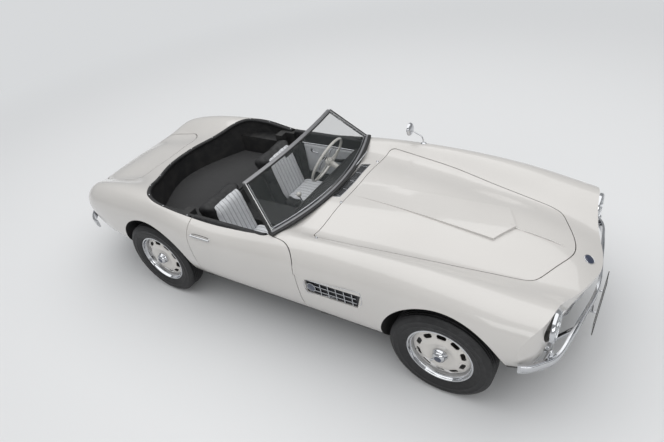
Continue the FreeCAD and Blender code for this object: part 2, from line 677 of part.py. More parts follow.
uprights = []
arm_end = king - 17 - 20 - fit
rail_space = block((front_x - 400, -rail_y - rail_half - fit, rail_low),
                   (front_x + 400, rail_y + rail_half + fit, rail_high + fit))
for side in (1, -1):
    lower = wishbone(side, 215, 240, arm_end)
    upper = wishbone(side, 455, 442, arm_end)
    tower = block((front_x - 175, side * 415 - 30, rail_high - 5), (front_x + 175, side * 415 + 30, 480))
    tower = tower.cut(block((front_x - 110, side * 415 - 60, 280), (front_x + 110, side * 415 + 60, 420)))
    uprights.append(union([lower, upper, tower]).cut(rail_space))
keep("front_suspension", Part.makeCompound(uprights))
pin_low, pin_high = 232, 450
stub = rod((front_x, king - 20, axle_z), (front_x, front_half + 20, axle_z), size("hub_bore") - 0.05)
upright = rod((front_x, king, pin_low), (front_x, king, pin_high), 17)
flange = rod((front_x, king - 20, axle_z), (front_x, front_half - 24, axle_z), 48)
knuckle = union([stub, upright, flange])
keep("knuckle_left", knuckle)
keep("knuckle_right", mirrored(knuckle))

# Seats: a cushion and a leaning back each.
seat_inner, seat_outer = 150, 572
seat_top = 455


def rounded(shape, radius):
    return shape.makeFillet(radius, shape.Edges)


def seat(side):
    front = size("seat_front")
    cushion = rounded(block((front - 490, seat_inner, floor_top + 40), (front, seat_outer, seat_top)), 28)
    back = rounded(block((-80, seat_inner, 0), (80, seat_outer, 520)), 34)
    back.rotate(Vector(0, 0, 0), Vector(0, 1, 0), -14)
    back.translate(Vector(front - 560, 0, 330))
    base = block((front - 490, seat_inner + 30, floor_top + fit),
                 (front - 90, seat_outer - 30, floor_top + 60))
    shape = union([cushion, back, base])
    return shape if side > 0 else mirrored(shape)


keep("seat_left", seat(1))
keep("seat_right", seat(-1))

# Dashboard: a rounded beam across the cabin, with its ends close to the door trims.
dash = rounded(block((72, -620, 640), (300, 620, scuttle_z - fit)), 24)

# Steering wheel and column, on a line that leans back from the firewall.
tilt = math.radians(size("column_tilt"))
along = Vector(math.cos(tilt), 0, -math.sin(tilt))
wheel_centre = Vector(size("steering_x"), size("steering_y"), size("steering_z"))
grip = Part.makeTorus(size("steering_radius"), 11, wheel_centre, along)
boss = Part.makeCylinder(34, 40, wheel_centre - along * 6, along)
spokes = []
for turn in (90, 210, 330):
    spoke = Part.makeCylinder(6, size("steering_radius"), Vector(0, 0, 0), Vector(0, 1, 0))
    spoke.rotate(Vector(0, 0, 0), Vector(1, 0, 0), turn)
    spoke.rotate(Vector(0, 0, 0), Vector(0, 1, 0), size("column_tilt"))
    spoke.translate(wheel_centre + along * 12)
    spokes.append(spoke)
keep("steering_wheel", union([grip, boss] + spokes))
column_start = wheel_centre + along * (34 + fit)
keep("steering_column", Part.makeCylinder(22, 400, column_start, along))
keep("dashboard", dash.cut(Part.makeCylinder(22 + fit, 500, column_start, along)))


# Windscreen: a tube frame, bowed at its foot and top, round a curved pane.
foot_x, foot_y = size("screen_base_x"), size("screen_base_y")
head_x, head_y, head_z = size("screen_top_x"), size("screen_top_y"), size("screen_top_z")
bar = size("screen_rail")
head_left = (head_x, head_y, head_z)
head_mid = (head_x + 40, 0, head_z + 6)


def bow_through(end, middle):
    x, y, z = end
    return Part.Arc(Vector(x, -y, z), Vector(*middle), Vector(x, y, z)).toShape()


def tube(edge, radius):
    """A round bar along a circular arc."""
    arc_circle = edge.Curve
    ring = Part.Wire(Part.makeCircle(radius, edge.valueAt(edge.FirstParameter),
                                     edge.tangentAt(edge.FirstParameter)))
    sweep = math.degrees(edge.Length / arc_circle.Radius)
    return Part.Face(ring).revolve(arc_circle.Center, arc_circle.Axis, sweep)


end_height = height_at(foot_x, foot_y)
mid_x = foot_x + size("screen_bow")
mid_height = height_at(mid_x, 0)
rest_line = bow_through((foot_x, foot_y, end_height), (mid_x, 0, mid_height))
swell = max(height_at(p.x, p.y) - p.z for p in rest_line.discretize(Number=15))
lift = swell + bar * 1.15 + fit
foot_left = (foot_x, foot_y, end_height + lift)
foot_bow = bow_through(foot_left, (mid_x, 0, mid_height + lift))
head_bow = bow_through(head_left, head_mid)
corners = [foot_left, head_left] + [(x, -y, z) for x, y, z in (foot_left, head_left)]
knobs = [Part.makeSphere(bar * 1.15, Vector(*corner)) for corner in corners]
posts = [rod(corners[0], corners[1], bar * 0.8), rod(corners[2], corners[3], bar * 0.8)]
screen_frame = union([tube(foot_bow, bar), knobs[0], knobs[2], *posts, tube(head_bow, bar), knobs[1],
                      knobs[3]])
keep("windscreen_frame", screen_frame)
pane = Part.makeRuledSurface(foot_bow, head_bow).extrude(Vector(-size("glass"), 0, 0)).cut(screen_frame)
pane = max(pane.Solids, key=lambda solid: solid.Volume)
keep("windscreen_glass", pane)

# Door trims: a panel on the inner face of each door and a padded roll along its top.
trim_out = size("door_inner") - fit
trim = block((-560, trim_out - 9, 345), (130, trim_out, ledge_z + 4))
door_roll = rod((-590, 678, ledge_z + 8), (120, 678, ledge_z + 8), 22)
trim = trim.fuse(door_roll.cut(block((-700, 600, 0), (200, 900, ledge_z + fit)))).cut(
    skin.cut(cockpit_top).translated(Vector(0, 0, fit)).common(block((-700, trim_out, 0), (200, 900, sky))))
keep("door_trim_left", trim)
keep("door_trim_right", mirrored(trim))

# Door handles: a flush pull bar on two feet, near the rear edge of each door.
handle_z = 763
handle_y = 793


def on_side(x, z):
    """How far out the left side of the body lies at a height."""
    probe = Part.makeLine(Vector(x, 300, z), Vector(x, 1200, z)).common(skin)
    return probe.BoundBox.YMax


pull_ends = [(-563, handle_z), (-385, handle_z)]
pull = [rod((x, on_side(x, z) - 4, z), (x, on_side(x, z) + 11, z), 6) for x, z in pull_ends]
(x_a, z_a), (x_b, z_b) = pull_ends
pull.append(rod((x_a - 6, on_side(x_a, z_a) + 10, z_a), (x_b + 6, on_side(x_b, z_b) + 10, z_b), 7))
handle = union(pull).cut(skin.translated(Vector(0, fit, 0)))
handle = max(handle.Solids, key=lambda solid: solid.Volume)
keep("door_handle_left", handle)
keep("door_handle_right", mirrored(handle))

# Lamps.
lamp_y, lamp_z = size("lamp_y"), size("lamp_z")
lamp_r = size("lamp_radius") - fit
lamp_profile = Part.makePolygon([Vector(0, 0, 0), Vector(lamp_r, 0, 0), Vector(lamp_r, 0, 102),
                                 Vector(lamp_r - 6, 0, 112),
                                 Vector(lamp_r - 14, 0, 110), Vector(lamp_r - 16, 0, 96), Vector(0, 0, 60),
                                 Vector(0, 0, 0)])
lamp = Part.Face(lamp_profile).revolve(Vector(0, 0, 0), Vector(0, 0, 1), 360)
lamp.rotate(Vector(0, 0, 0), Vector(0, 1, 0), 90)
lamp.translate(Vector(lamp_x - 90 + fit, lamp_y, lamp_z))
keep("headlamps", both_sides(lamp))
lens_r = lamp_r - 16 - fit
bulge = 26
lens_sphere = (lens_r ** 2 + bulge ** 2) / (2 * bulge)
lens = Part.makeSphere(lens_sphere, Vector(bulge - lens_sphere, 0, 0)).common(
    Part.makeCylinder(lens_r, 60, Vector(-1, 0, 0), Vector(1, 0, 0)))
lens.translate(Vector(lamp_x + 8, lamp_y, lamp_z))
keep("headlamp_lenses", both_sides(lens))
indicator = rod((1900, 595, 497), (1972, 595, 497), 34).cut(skin.translated(Vector(fit, 0, 0)))
keep("indicators", both_sides(max(indicator.Solids, key=lambda solid: solid.BoundBox.XMax)))
tail_lamp = rod((-1950, 450, 590), (-2184, 450, 590), 38).cut(skin.translated(Vector(-fit, 0, 0)))
keep("tail_lamps", both_sides(min(tail_lamp.Solids, key=lambda solid: solid.BoundBox.XMin)))

# Grilles of the nose: upright fins between two bowed rails in each opening, behind the lip.
nose_bow = fair(sorted((y * side, x) for y, x in NOSE_PLAN for side in ((1, -1) if y else (1,))))
rail_tall = 12
fins = 13


# Bumpers: thin blades along the plan of the body, on brackets from the rails.
def blade(points, depth, low, high):
    """An upright strip of metal along a smooth plan line, mirrored over the car's centre."""
    full = [Vector(x, y, low) for x, y in points] + [Vector(x, -y, low) for x, y in reversed(points[:-1])]
    back = shifted(full, depth)
    ring = Part.Wire([smooth(full), Part.makeLine(full[-1], back[-1]), smooth(back),
                      Part.makeLine(back[0], full[0])])
    return Part.Face(ring).extrude(Vector(0, 0, high - low))


def grille_rail(back, low):
    """One rail of the left grille, a distance behind the lip."""
    reach = (grille_inner + fit, grille_outer - fit)
    front = [Vector(nose_bow(y) - back, y, low)
             for y in (reach[0], *(reach[0] + (reach[1] - reach[0]) * k / 3
                                                                    for k in (1, 2)), reach[1])]
    back_line = [point - Vector(12, 0, 0) for point in front]
    ring = Part.Wire([smooth(front), Part.makeLine(front[-1], back_line[-1]), smooth(back_line[::-1]),
                      Part.makeLine(back_line[0], front[0])])
    return Part.Face(ring).extrude(Vector(0, 0, rail_tall))


low_back, high_back = 122, 72
grille_parts = [grille_rail(low_back, grille_low + fit),
                grille_rail(high_back, grille_high - fit - rail_tall)]
for i in range(1, fins + 1):
    y = grille_inner + i * (grille_outer - grille_inner) / (fins + 1)
    grille_parts.append(rod((nose_bow(y) - low_back - 6, y, grille_low + rail_tall),
                            (nose_bow(y) - high_back - 6, y, grille_high - rail_tall), 3.5))
grille = union(grille_parts)

BLADE_LOW, BLADE_HIGH, blade_depth = 442, 508, 14


def guard(top, bottom, y):
    """A leaning guard behind a bumper blade, with its ends rounded and a link to the blade."""
    high, low = (top, y, 538), (bottom, y, 376)
    middle = (top + bottom) / 2
    ahead = math.copysign(34, middle)
    return union([rod(high, low, 16), Part.makeSphere(16, Vector(*high)), Part.makeSphere(16, Vector(*low)),
                  rod((middle, y, 470), (middle + ahead, y, 470), 11)])


front_blade = blade([(1845, 790), (1900, 768), (1960, 712), (2009, 654), (2052, 480), (2080, 291),
                     (2112, 0)],
                    blade_depth, BLADE_LOW, BLADE_HIGH)
front_pieces = [front_blade]
for s in (1, -1):
    front_pieces += [guard(1985, 1947, s * 652),
                     rod((rail_front + fit, s * rail_y, 215), (2056, s * rail_y, 475), 14)]
    hanger = (2104, s * 100, 365)
    front_pieces += [rod((2102, s * 100, 450), hanger, 7), rod(hanger, (2132.7, s * 100, 365), 7),
                     Part.makeSphere(7, Vector(*hanger))]
keep("front_bumper", union(front_pieces).cut(block((1700, -900, 0), (rail_front + fit, 900, 300))))
rear_blade = blade([(-1905, 748), (-2010, 712), (-2120, 600), (-2205, 390), (-2234, 170), (-2238.7, 0)],
                   -blade_depth, BLADE_LOW, BLADE_HIGH)
rear_pieces = [rear_blade]
for s in (1, -1):
    knee = (-2060, s * rail_y, 300)
    rear_pieces += [guard(-2146, -2120, s * 520), rod((rail_rear + 20, s * rail_y, 215), knee, 12),
                    Part.makeSphere(12, Vector(*knee)), rod(knee, (-2200, s * rail_y, 470), 12)]
keep("rear_bumper", union(rear_pieces).cut(block((rail_rear - fit, -900, 0), (-1700, 900, 300))))

# Number plates, blank.
front_plate = block((2133, -240, 310), (2137, 240, 420))
rear_plate = block((-2243, -240, 452), (-2239, 240, 562))
keep("number_plates", Part.makeCompound([front_plate, rear_plate]))

# Exhaust: a silencer and one long pipe along the left side.
pipe_end = 640
exhaust = union([rod((-640, pipe_y, pipe_z), (-130, pipe_y, pipe_z), 40),
                 rod((-2195, pipe_y, pipe_z), (pipe_end, pipe_y, pipe_z), pipe_r),
                 Part.makeSphere(pipe_r, Vector(pipe_end, pipe_y, pipe_z)),
                 rod((pipe_end, pipe_y, pipe_z), (pipe_end + 90, pipe_y, 262), pipe_r)]).cut(
                     block((600, 0, 240), (900, 400, 400)))
keep("exhaust", exhaust)

# Side vents: slats in a recess of each front wing.
slats = [vent_form(fit, vent_depth + fit, vent_depth + 4)]
for i in range(1, 3):
    z = vent_low + i * (vent_high - vent_low) / 3
    slats.append(block((vent_rear + fit, vent_depth + 3, z - 3),
                       (vent_front - vent_slant - fit, 812, z + 3)))
for i in range(5):
    x = 580 + i * 60
    slats.append(block((x - 3, vent_depth + 3, vent_low + 6), (x + 3, 813, vent_high - 6)))
side_vent = union(slats)

keep("grilles", Part.makeCompound([grille, mirrored(grille), side_vent, mirrored(side_vent)]))

# Wing mirror on the left wing: a foot, a stem and a round head.
mirror_x, mirror_y = 660, 690
mirror_z = height_at(mirror_x, mirror_y)
head_at = Vector(mirror_x - 110, mirror_y, mirror_z + 110)
mirror = union([rod((mirror_x, mirror_y, mirror_z - 10), (mirror_x, mirror_y, mirror_z + 8), 14),
                rod((mirror_x, mirror_y, mirror_z), tuple(head_at), 5),
                Part.makeCylinder(52, 14, head_at, Vector(1, 0, 0))]).cut(skin.translated(Vector(0, 0,
                                                                                                 fit)))
keep("wing_mirror", max(mirror.Solids, key=lambda solid: solid.Volume))

# Wipers: two spindles with an arm and blade each, parked along the foot of the screen.
wiper_parts = []
for y in (-330, 250):
    x = 268 - 60 * (y / 400) ** 2
    z = height_at(x + 40, y)
    spindle_foot = (x + 40, y, z - 10)
    wiper = union([rod(spindle_foot, (x + 40, y, z + 20), 8),
                   rod((x + 40, y, z + 16), (x + 30, y + 210, z + 26), 4)])
    wiper = wiper.cut(skin.translated(Vector(0, 0, fit))).cut(screen_frame)
    wiper_parts.append(max(wiper.Solids, key=lambda solid: solid.Volume))
keep("wipers", Part.makeCompound(wiper_parts))


doc.recompute()
for item in doc.Objects:
    assert not {"Invalid", "Error"} & set(item.State), item.Name
for name, feature in nodes.items():
    assert not feature.Shape.isNull() and feature.Shape.isValid(), name
    feature.Shape.exportStep(f"parts/{name}.step")
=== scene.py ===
import math

import bmesh
import bpy
from mathutils import Matrix, Vector


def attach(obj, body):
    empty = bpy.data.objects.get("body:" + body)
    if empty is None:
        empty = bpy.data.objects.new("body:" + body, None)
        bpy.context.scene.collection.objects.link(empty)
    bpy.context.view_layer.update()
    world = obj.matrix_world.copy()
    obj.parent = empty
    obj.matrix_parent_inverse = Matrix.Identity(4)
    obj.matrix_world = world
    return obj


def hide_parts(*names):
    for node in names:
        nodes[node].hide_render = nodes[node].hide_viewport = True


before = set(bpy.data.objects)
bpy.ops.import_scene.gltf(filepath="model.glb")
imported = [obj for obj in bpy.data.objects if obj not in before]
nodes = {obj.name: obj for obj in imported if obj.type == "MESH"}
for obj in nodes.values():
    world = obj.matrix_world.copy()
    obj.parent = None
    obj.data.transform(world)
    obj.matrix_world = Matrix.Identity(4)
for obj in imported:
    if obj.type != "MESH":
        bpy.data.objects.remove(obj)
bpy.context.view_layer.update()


# Materials.
def operator(operation, swapped=False):
    """One of Python's operators on values: it adds a Math node."""
    def act(self, other):
        pair = (other, self) if swapped else (self, other)
        return self.finish.add("ShaderNodeMath", {"operation": operation}, dict(enumerate(pair)))
    return act


class Value:
    """A number or colour on a material's node sheet. Python's operators add Math nodes to it."""

    __add__, __radd__ = operator("ADD"), operator("ADD", True)
    __sub__, __rsub__ = operator("SUBTRACT"), operator("SUBTRACT", True)
    __mul__, __rmul__ = operator("MULTIPLY"), operator("MULTIPLY", True)
    __truediv__, larger = operator("DIVIDE"), operator("MAXIMUM")
    __gt__, __lt__ = operator("GREATER_THAN"), operator("LESS_THAN")

    def __init__(self, finish, socket):
        self.finish, self.socket = finish, socket

    def __abs__(self):
        return self.finish.add("ShaderNodeMath", {"operation": "ABSOLUTE"}, {0: self})

    def wave(self):
        return self.finish.add("ShaderNodeMath", {"operation": "SINE"}, {0: self})

    def between(self, low, high):
        """0 below low, 1 above high and a soft rise from one to the other."""
        return self.finish.add("ShaderNodeMapRange", {"interpolation_type": "SMOOTHSTEP"},
                               {"Value": self, "From Min": low, "From Max": high})


class Finish:
    """One material: its Principled shader and the nodes that feed it."""

    def __init__(self, name, **constants):
        self.material = bpy.data.materials.new(name)
        self.material.use_nodes = True
        self.tree = self.material.node_tree
        self.shader = self.tree.nodes["Principled BSDF"]
        self.place = None
        self.set(**constants)

    def add(self, kind, settings=None, inputs=None, outlet=0):
        """Adds a node, with its settings first and then the values or links of its sockets."""
        node = self.tree.nodes.new(kind)
        for name, setting in (settings or {}).items():
            if name == "plan":
                curve = node.mapping.curves[0]
                while len(curve.points) < len(setting):
                    curve.points.new(0.5, 0.5)
                for point, (along, across) in zip(curve.points, setting):
                    point.location = (along, across)
                node.mapping.update()
            else:
                setattr(node, name, setting)
        for name, value in (inputs or {}).items():
            self.join(node.inputs[name], value)
        return Value(self, node.outputs[outlet])

    def join(self, socket, value):
        if isinstance(value, Value):
            self.tree.links.new(value.socket, socket)
        elif hasattr(value, "__len__") and len(value) == 3 and len(socket.default_value) == 4:
            socket.default_value = (*value, 1)
        else:
            socket.default_value = value

    def set(self, **inputs):
        """Sets or links the shader's own sockets: base_color stands for Base Color."""
        for name, value in inputs.items():
            self.join(self.shader.inputs[name.replace("_", " ").title().replace("Ior", "IOR")], value)

    def where(self):
        """The point of the object, in its own coordinates."""
        if self.place is None:
            self.place = self.add("ShaderNodeTexCoord", outlet="Object")
        return self.place

    def axes(self):
        """The point's x, y and z as three numbers."""
        split = self.add("ShaderNodeSeparateXYZ", None, {0: self.where()})
        return [Value(self, split.socket.node.outputs[i]) for i in range(3)]

    def upward(self):
        """How far the surface faces up: its normal's z, in the object's own coordinates."""
        turn = self.add("ShaderNodeTexCoord", outlet="Normal")
        return self.add("ShaderNodeSeparateXYZ", None, {0: turn}, 2)

    def noise(self, scale, detail=3.0):
        return self.add("ShaderNodeTexNoise", None, {"Vector": self.where(), "Scale": scale,
                                                     "Detail": detail})

    def cells(self, scale):
        return self.add("ShaderNodeTexVoronoi", None, {"Vector": self.where(), "Scale": scale})

    def mix(self, share, first, second):
        """A colour between two colours."""
        return self.add("ShaderNodeMix", {"data_type": "RGBA"}, {0: share, 6: first, 7: second}, 2)

    def bump(self, height, strength, distance, under=None):
        inputs = {"Height": height, "Strength": strength, "Distance": distance}
        if under is not None:
            inputs["Normal"] = under
        return self.add("ShaderNodeBump", None, inputs)


def scaled(colour, share):
    return tuple(c * share for c in colour)


def grained(name, colours, cloud, rough, grain=None, **constants):
    """A surface with clouds of two colours, uneven roughness and a fine grain.

    Each of the three is a noise: its scale and detail come first in cloud and grain, and last in rough."""
    finish = Finish(name, **constants)
    scale, detail, low, high = cloud
    finish.set(base_color=finish.mix(finish.noise(scale, detail).between(low, high), *colours))
    least, more, scale, detail = rough
    finish.set(roughness=least + more * finish.noise(scale, detail))
    if grain:
        scale, detail, strength, depth = grain
        finish.set(normal=finish.bump(finish.noise(scale, detail), strength, depth))
    return finish.material


PEEL, PEEL_CLOUD = (260.0, 1.0, 0.05, 0.0006), (1.7, 2.0, 0.3, 0.7)


def glossy_paint(name, colour, shade):
    """Lacquered paint: a faint orange peel, and the least change of tone over the panels."""
    return grained(name, (colour, shade), PEEL_CLOUD, (0.27, 0.1, 9.0, 4.0), PEEL, coat_weight=1.0,
                   coat_roughness=0.04, specular_ior_level=0.5)


def polished(name, colour, rough, wear=0.05):
    return grained(name, (colour, scaled(colour, 0.93)), (22.0, 5.0, 0.35, 0.75), (rough, wear, 60.0, 4.0),
                   metallic=1.0)


def hide(name, colour, shade):
    """Leather: small pebbled cells, wrinkles between them and a little wear."""
    leather = Finish(name, specular_ior_level=0.4)
    cells = leather.cells(620.0)
    creases = leather.noise(38.0, 4.0)
    leather.set(base_color=leather.mix(creases.between(0.35, 0.7), colour, shade))
    leather.set(roughness=0.42 + 0.16 * leather.noise(14.0, 3.0))
    soft = leather.bump(creases, 0.25, 0.002)
    leather.set(normal=leather.bump(cells, 0.4, 0.0006, soft))
    return leather.material


def rubber(name, colour, rough):
    dust = tuple(c * 1.9 + 0.006 for c in colour)
    return grained(name, (colour, dust), (30.0, 5.0, 0.45, 0.8), (rough, 0.2, 90.0, 3.0),
                   (700.0, 2.0, 0.2, 0.0004))


def satin_metal(name, colour, rough=0.45):
    """Plain painted or cast metal under the car."""
    return grained(name, (colour, scaled(colour, 0.55)), (11.0, 5.0, 0.4, 0.75), (rough, 0.25, 35.0, 4.0),
                   (120.0, 3.0, 0.15, 0.001), metallic=0.2)


def carpet(name, colour):
    pile = Finish(name, roughness=0.95, sheen_weight=0.3)
    tufts = pile.noise(900.0, 2.0)
    pile.set(base_color=pile.mix(tufts, scaled(colour, 0.6), scaled(colour, 1.4)))
    pile.set(normal=pile.bump(tufts, 0.8, 0.002))
    return pile.material


def clear_glass(name, colour, alpha):
    """Thin glass: mostly see-through, with a gloss that grows at a slant."""
    pane = Finish(name, base_color=colour, ior=1.5)
    smear = pane.noise(6.0, 3.0)
    pane.set(roughness=0.015 + 0.02 * smear)
    pane.set(alpha=alpha + 0.03 * smear)
    return pane.material


def lamp_glass(name, colour, flutes):
    """Moulded lamp glass, with upright flutes."""
    lens = Finish(name, roughness=0.08, ior=1.5, coat_weight=1.0, coat_roughness=0.02)
    ridges = (lens.axes()[1] * flutes).wave()
    lens.set(base_color=lens.mix(ridges.between(-1.0, 1.0), colour, scaled(colour, 0.7)))
    lens.set(normal=lens.bump(ridges, 0.5, 0.002))
    return lens.material


AHEAD = 53
COCKPIT_PLAN = [(-1448, 0), (-1440, 80), (-1415, 180), (-1380, 265), (-1335, 350), (-1290, 434), (-1235, 520),
                (-1185, 587), (-1130, 640), (-1070, 678), (-1000, 700), (-925, 710), (-850, 712), (-600, 703),
                (-300, 701), (0, 699), (100, 694), (120, 688), (138, 640), (163, 554), (188, 452), (213, 320),
                (228, 202), (238, 0)]
WHEEL_ARCHES = [(1375, 350), (-1105, 350)]
ARCH_RADIUS, ARCH_INNER = 0.3965, 0.47
VENT_PLATE = (0.785, 0.8005)
# Where the body's solids are darkened, as black trim in the cockpit and as painted shade in the bays and side
# vents: ranges beside, along and above, in metres.
DARK_BOXES = {
    "footwell": ((-9, 0.652), (0.1, 0.43), (0.25, 0.8075)),
    "engine_bay": ((-9, 0.433), (0.48, 1.856), (-9, 0.69)),
    "boot": ((-9, 0.502), (-2.01, -1.415), (-9, 0.665)),
    "tail_wall": ((-9, 0.37), (-1.397, -1.235), (-9, 0.808)),
    "side_vents": (VENT_PLATE, (0.505, 0.945), (0.565, 0.705)),
}
COWL_VENT_BOX = ((-0.152, 0.338), (0.3525, 0.4268), (0.84, 0.8608))
UNDERSIDE = 0.5


def within(value, low, high):
    """1 between two limits and 0 beyond them."""
    return (value > low) * (value < high)


def spot(x, y, z):
    """A point of the car, given in millimetres ahead of, beside and above the drawing's datum."""
    return Vector(((x + AHEAD) / 1000, y / 1000, z / 1000))


def offset(ahead=0.0, beside=0.0, up=0.0):
    """A step ahead, to the left and up, in millimetres."""
    return Vector((ahead / 1000, beside / 1000, up / 1000))


def body_paint(name, colour, shade):
    """Lacquer outside, black trim in the cockpit, painted shade in the bays and vents, and darker in the
    arches and beneath.
    """
    paint = Finish(name, specular_ior_level=0.5, coat_roughness=0.05)
    x, y, z = paint.axes()
    side = abs(y)
    rear, front = (COCKPIT_PLAN[0][0] + AHEAD) / 1000, (COCKPIT_PLAN[-1][0] + AHEAD) / 1000
    plan = [(((px + AHEAD) / 1000 - rear) / (front - rear), py / 1000) for px, py in COCKPIT_PLAN]
    along = (x - rear) / (front - rear)
    edge = paint.add("ShaderNodeFloatCurve", {"plan": plan}, {"Value": along})
    trim_and_painted_shade = (side < edge + 0.0015) * within(x, rear, front) * (z < 1.0)
    # Black trim in the footwell and on the wall behind the seats, and painted shade in the engine bay, the
    # boot and the side vents.
    for beside, (back, ahead), (low, high) in DARK_BOXES.values():
        trim_and_painted_shade = trim_and_painted_shade.larger(within(side, *beside) * within(x, back, ahead) * within(z, low, high))
    # Painted shade on the floor of the cowl vent.
    beside, (back, ahead), (low, high) = COWL_VENT_BOX
    trim_and_painted_shade = trim_and_painted_shade.larger(within(y, *beside) * within(x, back, ahead) * within(z, low, high))
    # Darker inside the wheel arches, and on the faces beneath.
    for wx, wz in WHEEL_ARCHES:
        dx, dz = x - (wx + AHEAD) / 1000, z - wz / 1000
        trim_and_painted_shade = trim_and_painted_shade.larger((dx * dx + dz * dz < ARCH_RADIUS ** 2) * (side > ARCH_INNER))
    trim_and_painted_shade = trim_and_painted_shade.larger((paint.upward() < -0.45) * (z < UNDERSIDE))
    scale, detail, low, high = PEEL_CLOUD
    lacquer = paint.mix(paint.noise(scale, detail).between(low, high), colour, shade)
    grime = paint.noise(14.0, 4.0)
    # Near-black for the cockpit trim and the painted shade, with a random change of tone.
    dark = paint.mix(grime.between(0.35, 0.75), (0.014, 0.014, 0.015), (0.03, 0.029, 0.028))
    paint.set(base_color=paint.mix(trim_and_painted_shade, lacquer, dark))
    paint.set(roughness=0.3 + 0.1 * paint.noise(9.0, 4.0) + 0.28 * trim_and_painted_shade)
    paint.set(coat_weight=1.0 - trim_and_painted_shade)
    scale, detail, strength, depth = PEEL
    paint.set(normal=paint.bump(paint.noise(scale, detail), strength, depth))
    return paint.material


def tyre_rubber(name):
    """Sidewall and tread rubber, with a thin bloom of dust."""
    return grained(name, ((0.013, 0.013, 0.014), (0.03, 0.03, 0.031)), (30.0, 5.0, 0.45, 0.85),
                   (0.42, 0.25, 60.0, 3.0), (900.0, 2.0, 0.25, 0.0005), specular_ior_level=0.45)


SEAT_MIDDLE, QUILT_WIDE, QUILT_LONG, PLEATS = 0.361, 0.306, 0.425, 8
PLEAT = QUILT_WIDE / PLEATS


def stitched_hide(name, colour, shade):
    """Pleated seat leather: the fine pebbled grain of hide, with darker creases, and painted shade along the
    grooves between the pleats.
    """
    leather = Finish(name, specular_ior_level=0.4)
    creases = leather.noise(46.0, 5.0)
    across = abs(leather.axes()[1]) - SEAT_MIDDLE
    # Painted shade: a dark line along each groove between the pleats, where the panel is pressed in.
    seam = (across * (2 * math.pi / PLEAT) + math.pi / 2).wave() * (abs(across) < PLEAT * 3.9)
    tone = leather.mix(creases.between(0.3, 0.75), colour, shade)
    leather.set(base_color=leather.mix(seam.between(0.9, 0.995), tone, scaled(shade, 0.35)))
    leather.set(roughness=0.4 + 0.18 * leather.noise(18.0, 3.0))
    soft = leather.bump(creases, 0.3, 0.0016)
    leather.set(normal=leather.bump(leather.cells(760.0), 0.2, 0.0003, soft))
    return leather.material


def vent_metal(name, colour, shade):
    """Bright slats, before a plate painted near-black as shade at the bottom of each side vent."""
    metal = Finish(name)
    side = abs(metal.axes()[1])
    # The plate at the back of each vent is painted near-black and matte: painted shade in the opening.
    plate = within(side, VENT_PLATE[0], VENT_PLATE[1] + 0.0007)
    metal.set(base_color=metal.mix(plate, metal.mix(metal.noise(22.0, 5.0), colour, shade),
                                   (0.015, 0.015, 0.017)))
    metal.set(metallic=1.0 - plate)
    metal.set(roughness=0.06 + 0.05 * metal.noise(60.0, 4.0) + 0.35 * plate)
    return metal.material


FINISHES = {
    "paint": body_paint("paint_ivory_white", (0.62, 0.6, 0.575), (0.6, 0.58, 0.555)),
    "wheel_paint": glossy_paint("paint_wheel", (0.69, 0.665, 0.63), (0.65, 0.625, 0.59)),
    "black_metal": satin_metal("black_enamel", (0.02, 0.02, 0.02), 0.3),
    "drum": satin_metal("brake_drum_iron", (0.05, 0.045, 0.04), 0.55),
    "alloy": polished("cast_alloy", (0.55, 0.55, 0.56), 0.35, 0.2),
    "black_leather": hide("black_leather", (0.012, 0.012, 0.013), (0.022, 0.022, 0.023)),
    "seat_leather": stitched_hide("grey_leather", (0.7, 0.71, 0.73), (0.61, 0.62, 0.645)),
    "frame_metal": satin_metal("frame_steel", (0.045, 0.045, 0.045)),
    "glass": clear_glass("window_glass", (0.05, 0.06, 0.06), 0.12),
    "vent_metal": vent_metal("vent_metal", (0.5, 0.51, 0.53), (0.44, 0.45, 0.47)),
    "bright_rail": polished("bright_screen_post", (0.62, 0.62, 0.62), 0.22, 0.1),
    "mirror_glass": polished("mirror_glass", (0.86, 0.87, 0.88), 0.02, 0.01),
    "chrome": polished("chrome", (0.62, 0.63, 0.65), 0.05),
    "satin_rail": polished("satin_screen_rail", (0.3, 0.3, 0.31), 0.3, 0.12),
    "lamp_amber": lamp_glass("amber_glass", (0.85, 0.42, 0.06), 900.0),
    "lamp_red": lamp_glass("red_glass", (0.42, 0.012, 0.012), 900.0),
    "lamp_clear": lamp_glass("clear_lamp_glass", (0.6, 0.62, 0.63), 620.0),
    "lamp_dome": clear_glass("lamp_dome_glass", (0.55, 0.58, 0.6), 0.22),
    "plate": glossy_paint("blank_plate", (0.56, 0.56, 0.55), (0.54, 0.54, 0.53)),
    "enamel": glossy_paint("dark_enamel", (0.012, 0.02, 0.05), (0.014, 0.024, 0.06)),
    "dial": satin_metal("dial_black", (0.015, 0.015, 0.016), 0.35),
    "dial_marks": satin_metal("dial_ivory", (0.7, 0.68, 0.6), 0.5),
    "exhaust_steel": polished("exhaust_steel", (0.32, 0.31, 0.3), 0.38, 0.2),
    "ivory": glossy_paint("ivory_plastic", (0.84, 0.82, 0.77), (0.8, 0.78, 0.73)),
    "tyre": tyre_rubber("tyre_rubber"),
    "gasket": rubber("black_gasket", (0.012, 0.012, 0.012), 0.45),
    "carpet": carpet("black_carpet", (0.014, 0.014, 0.015)),
}


def dress(obj, finish):
    obj.data.materials.clear()
    obj.data.materials.append(FINISHES[finish])


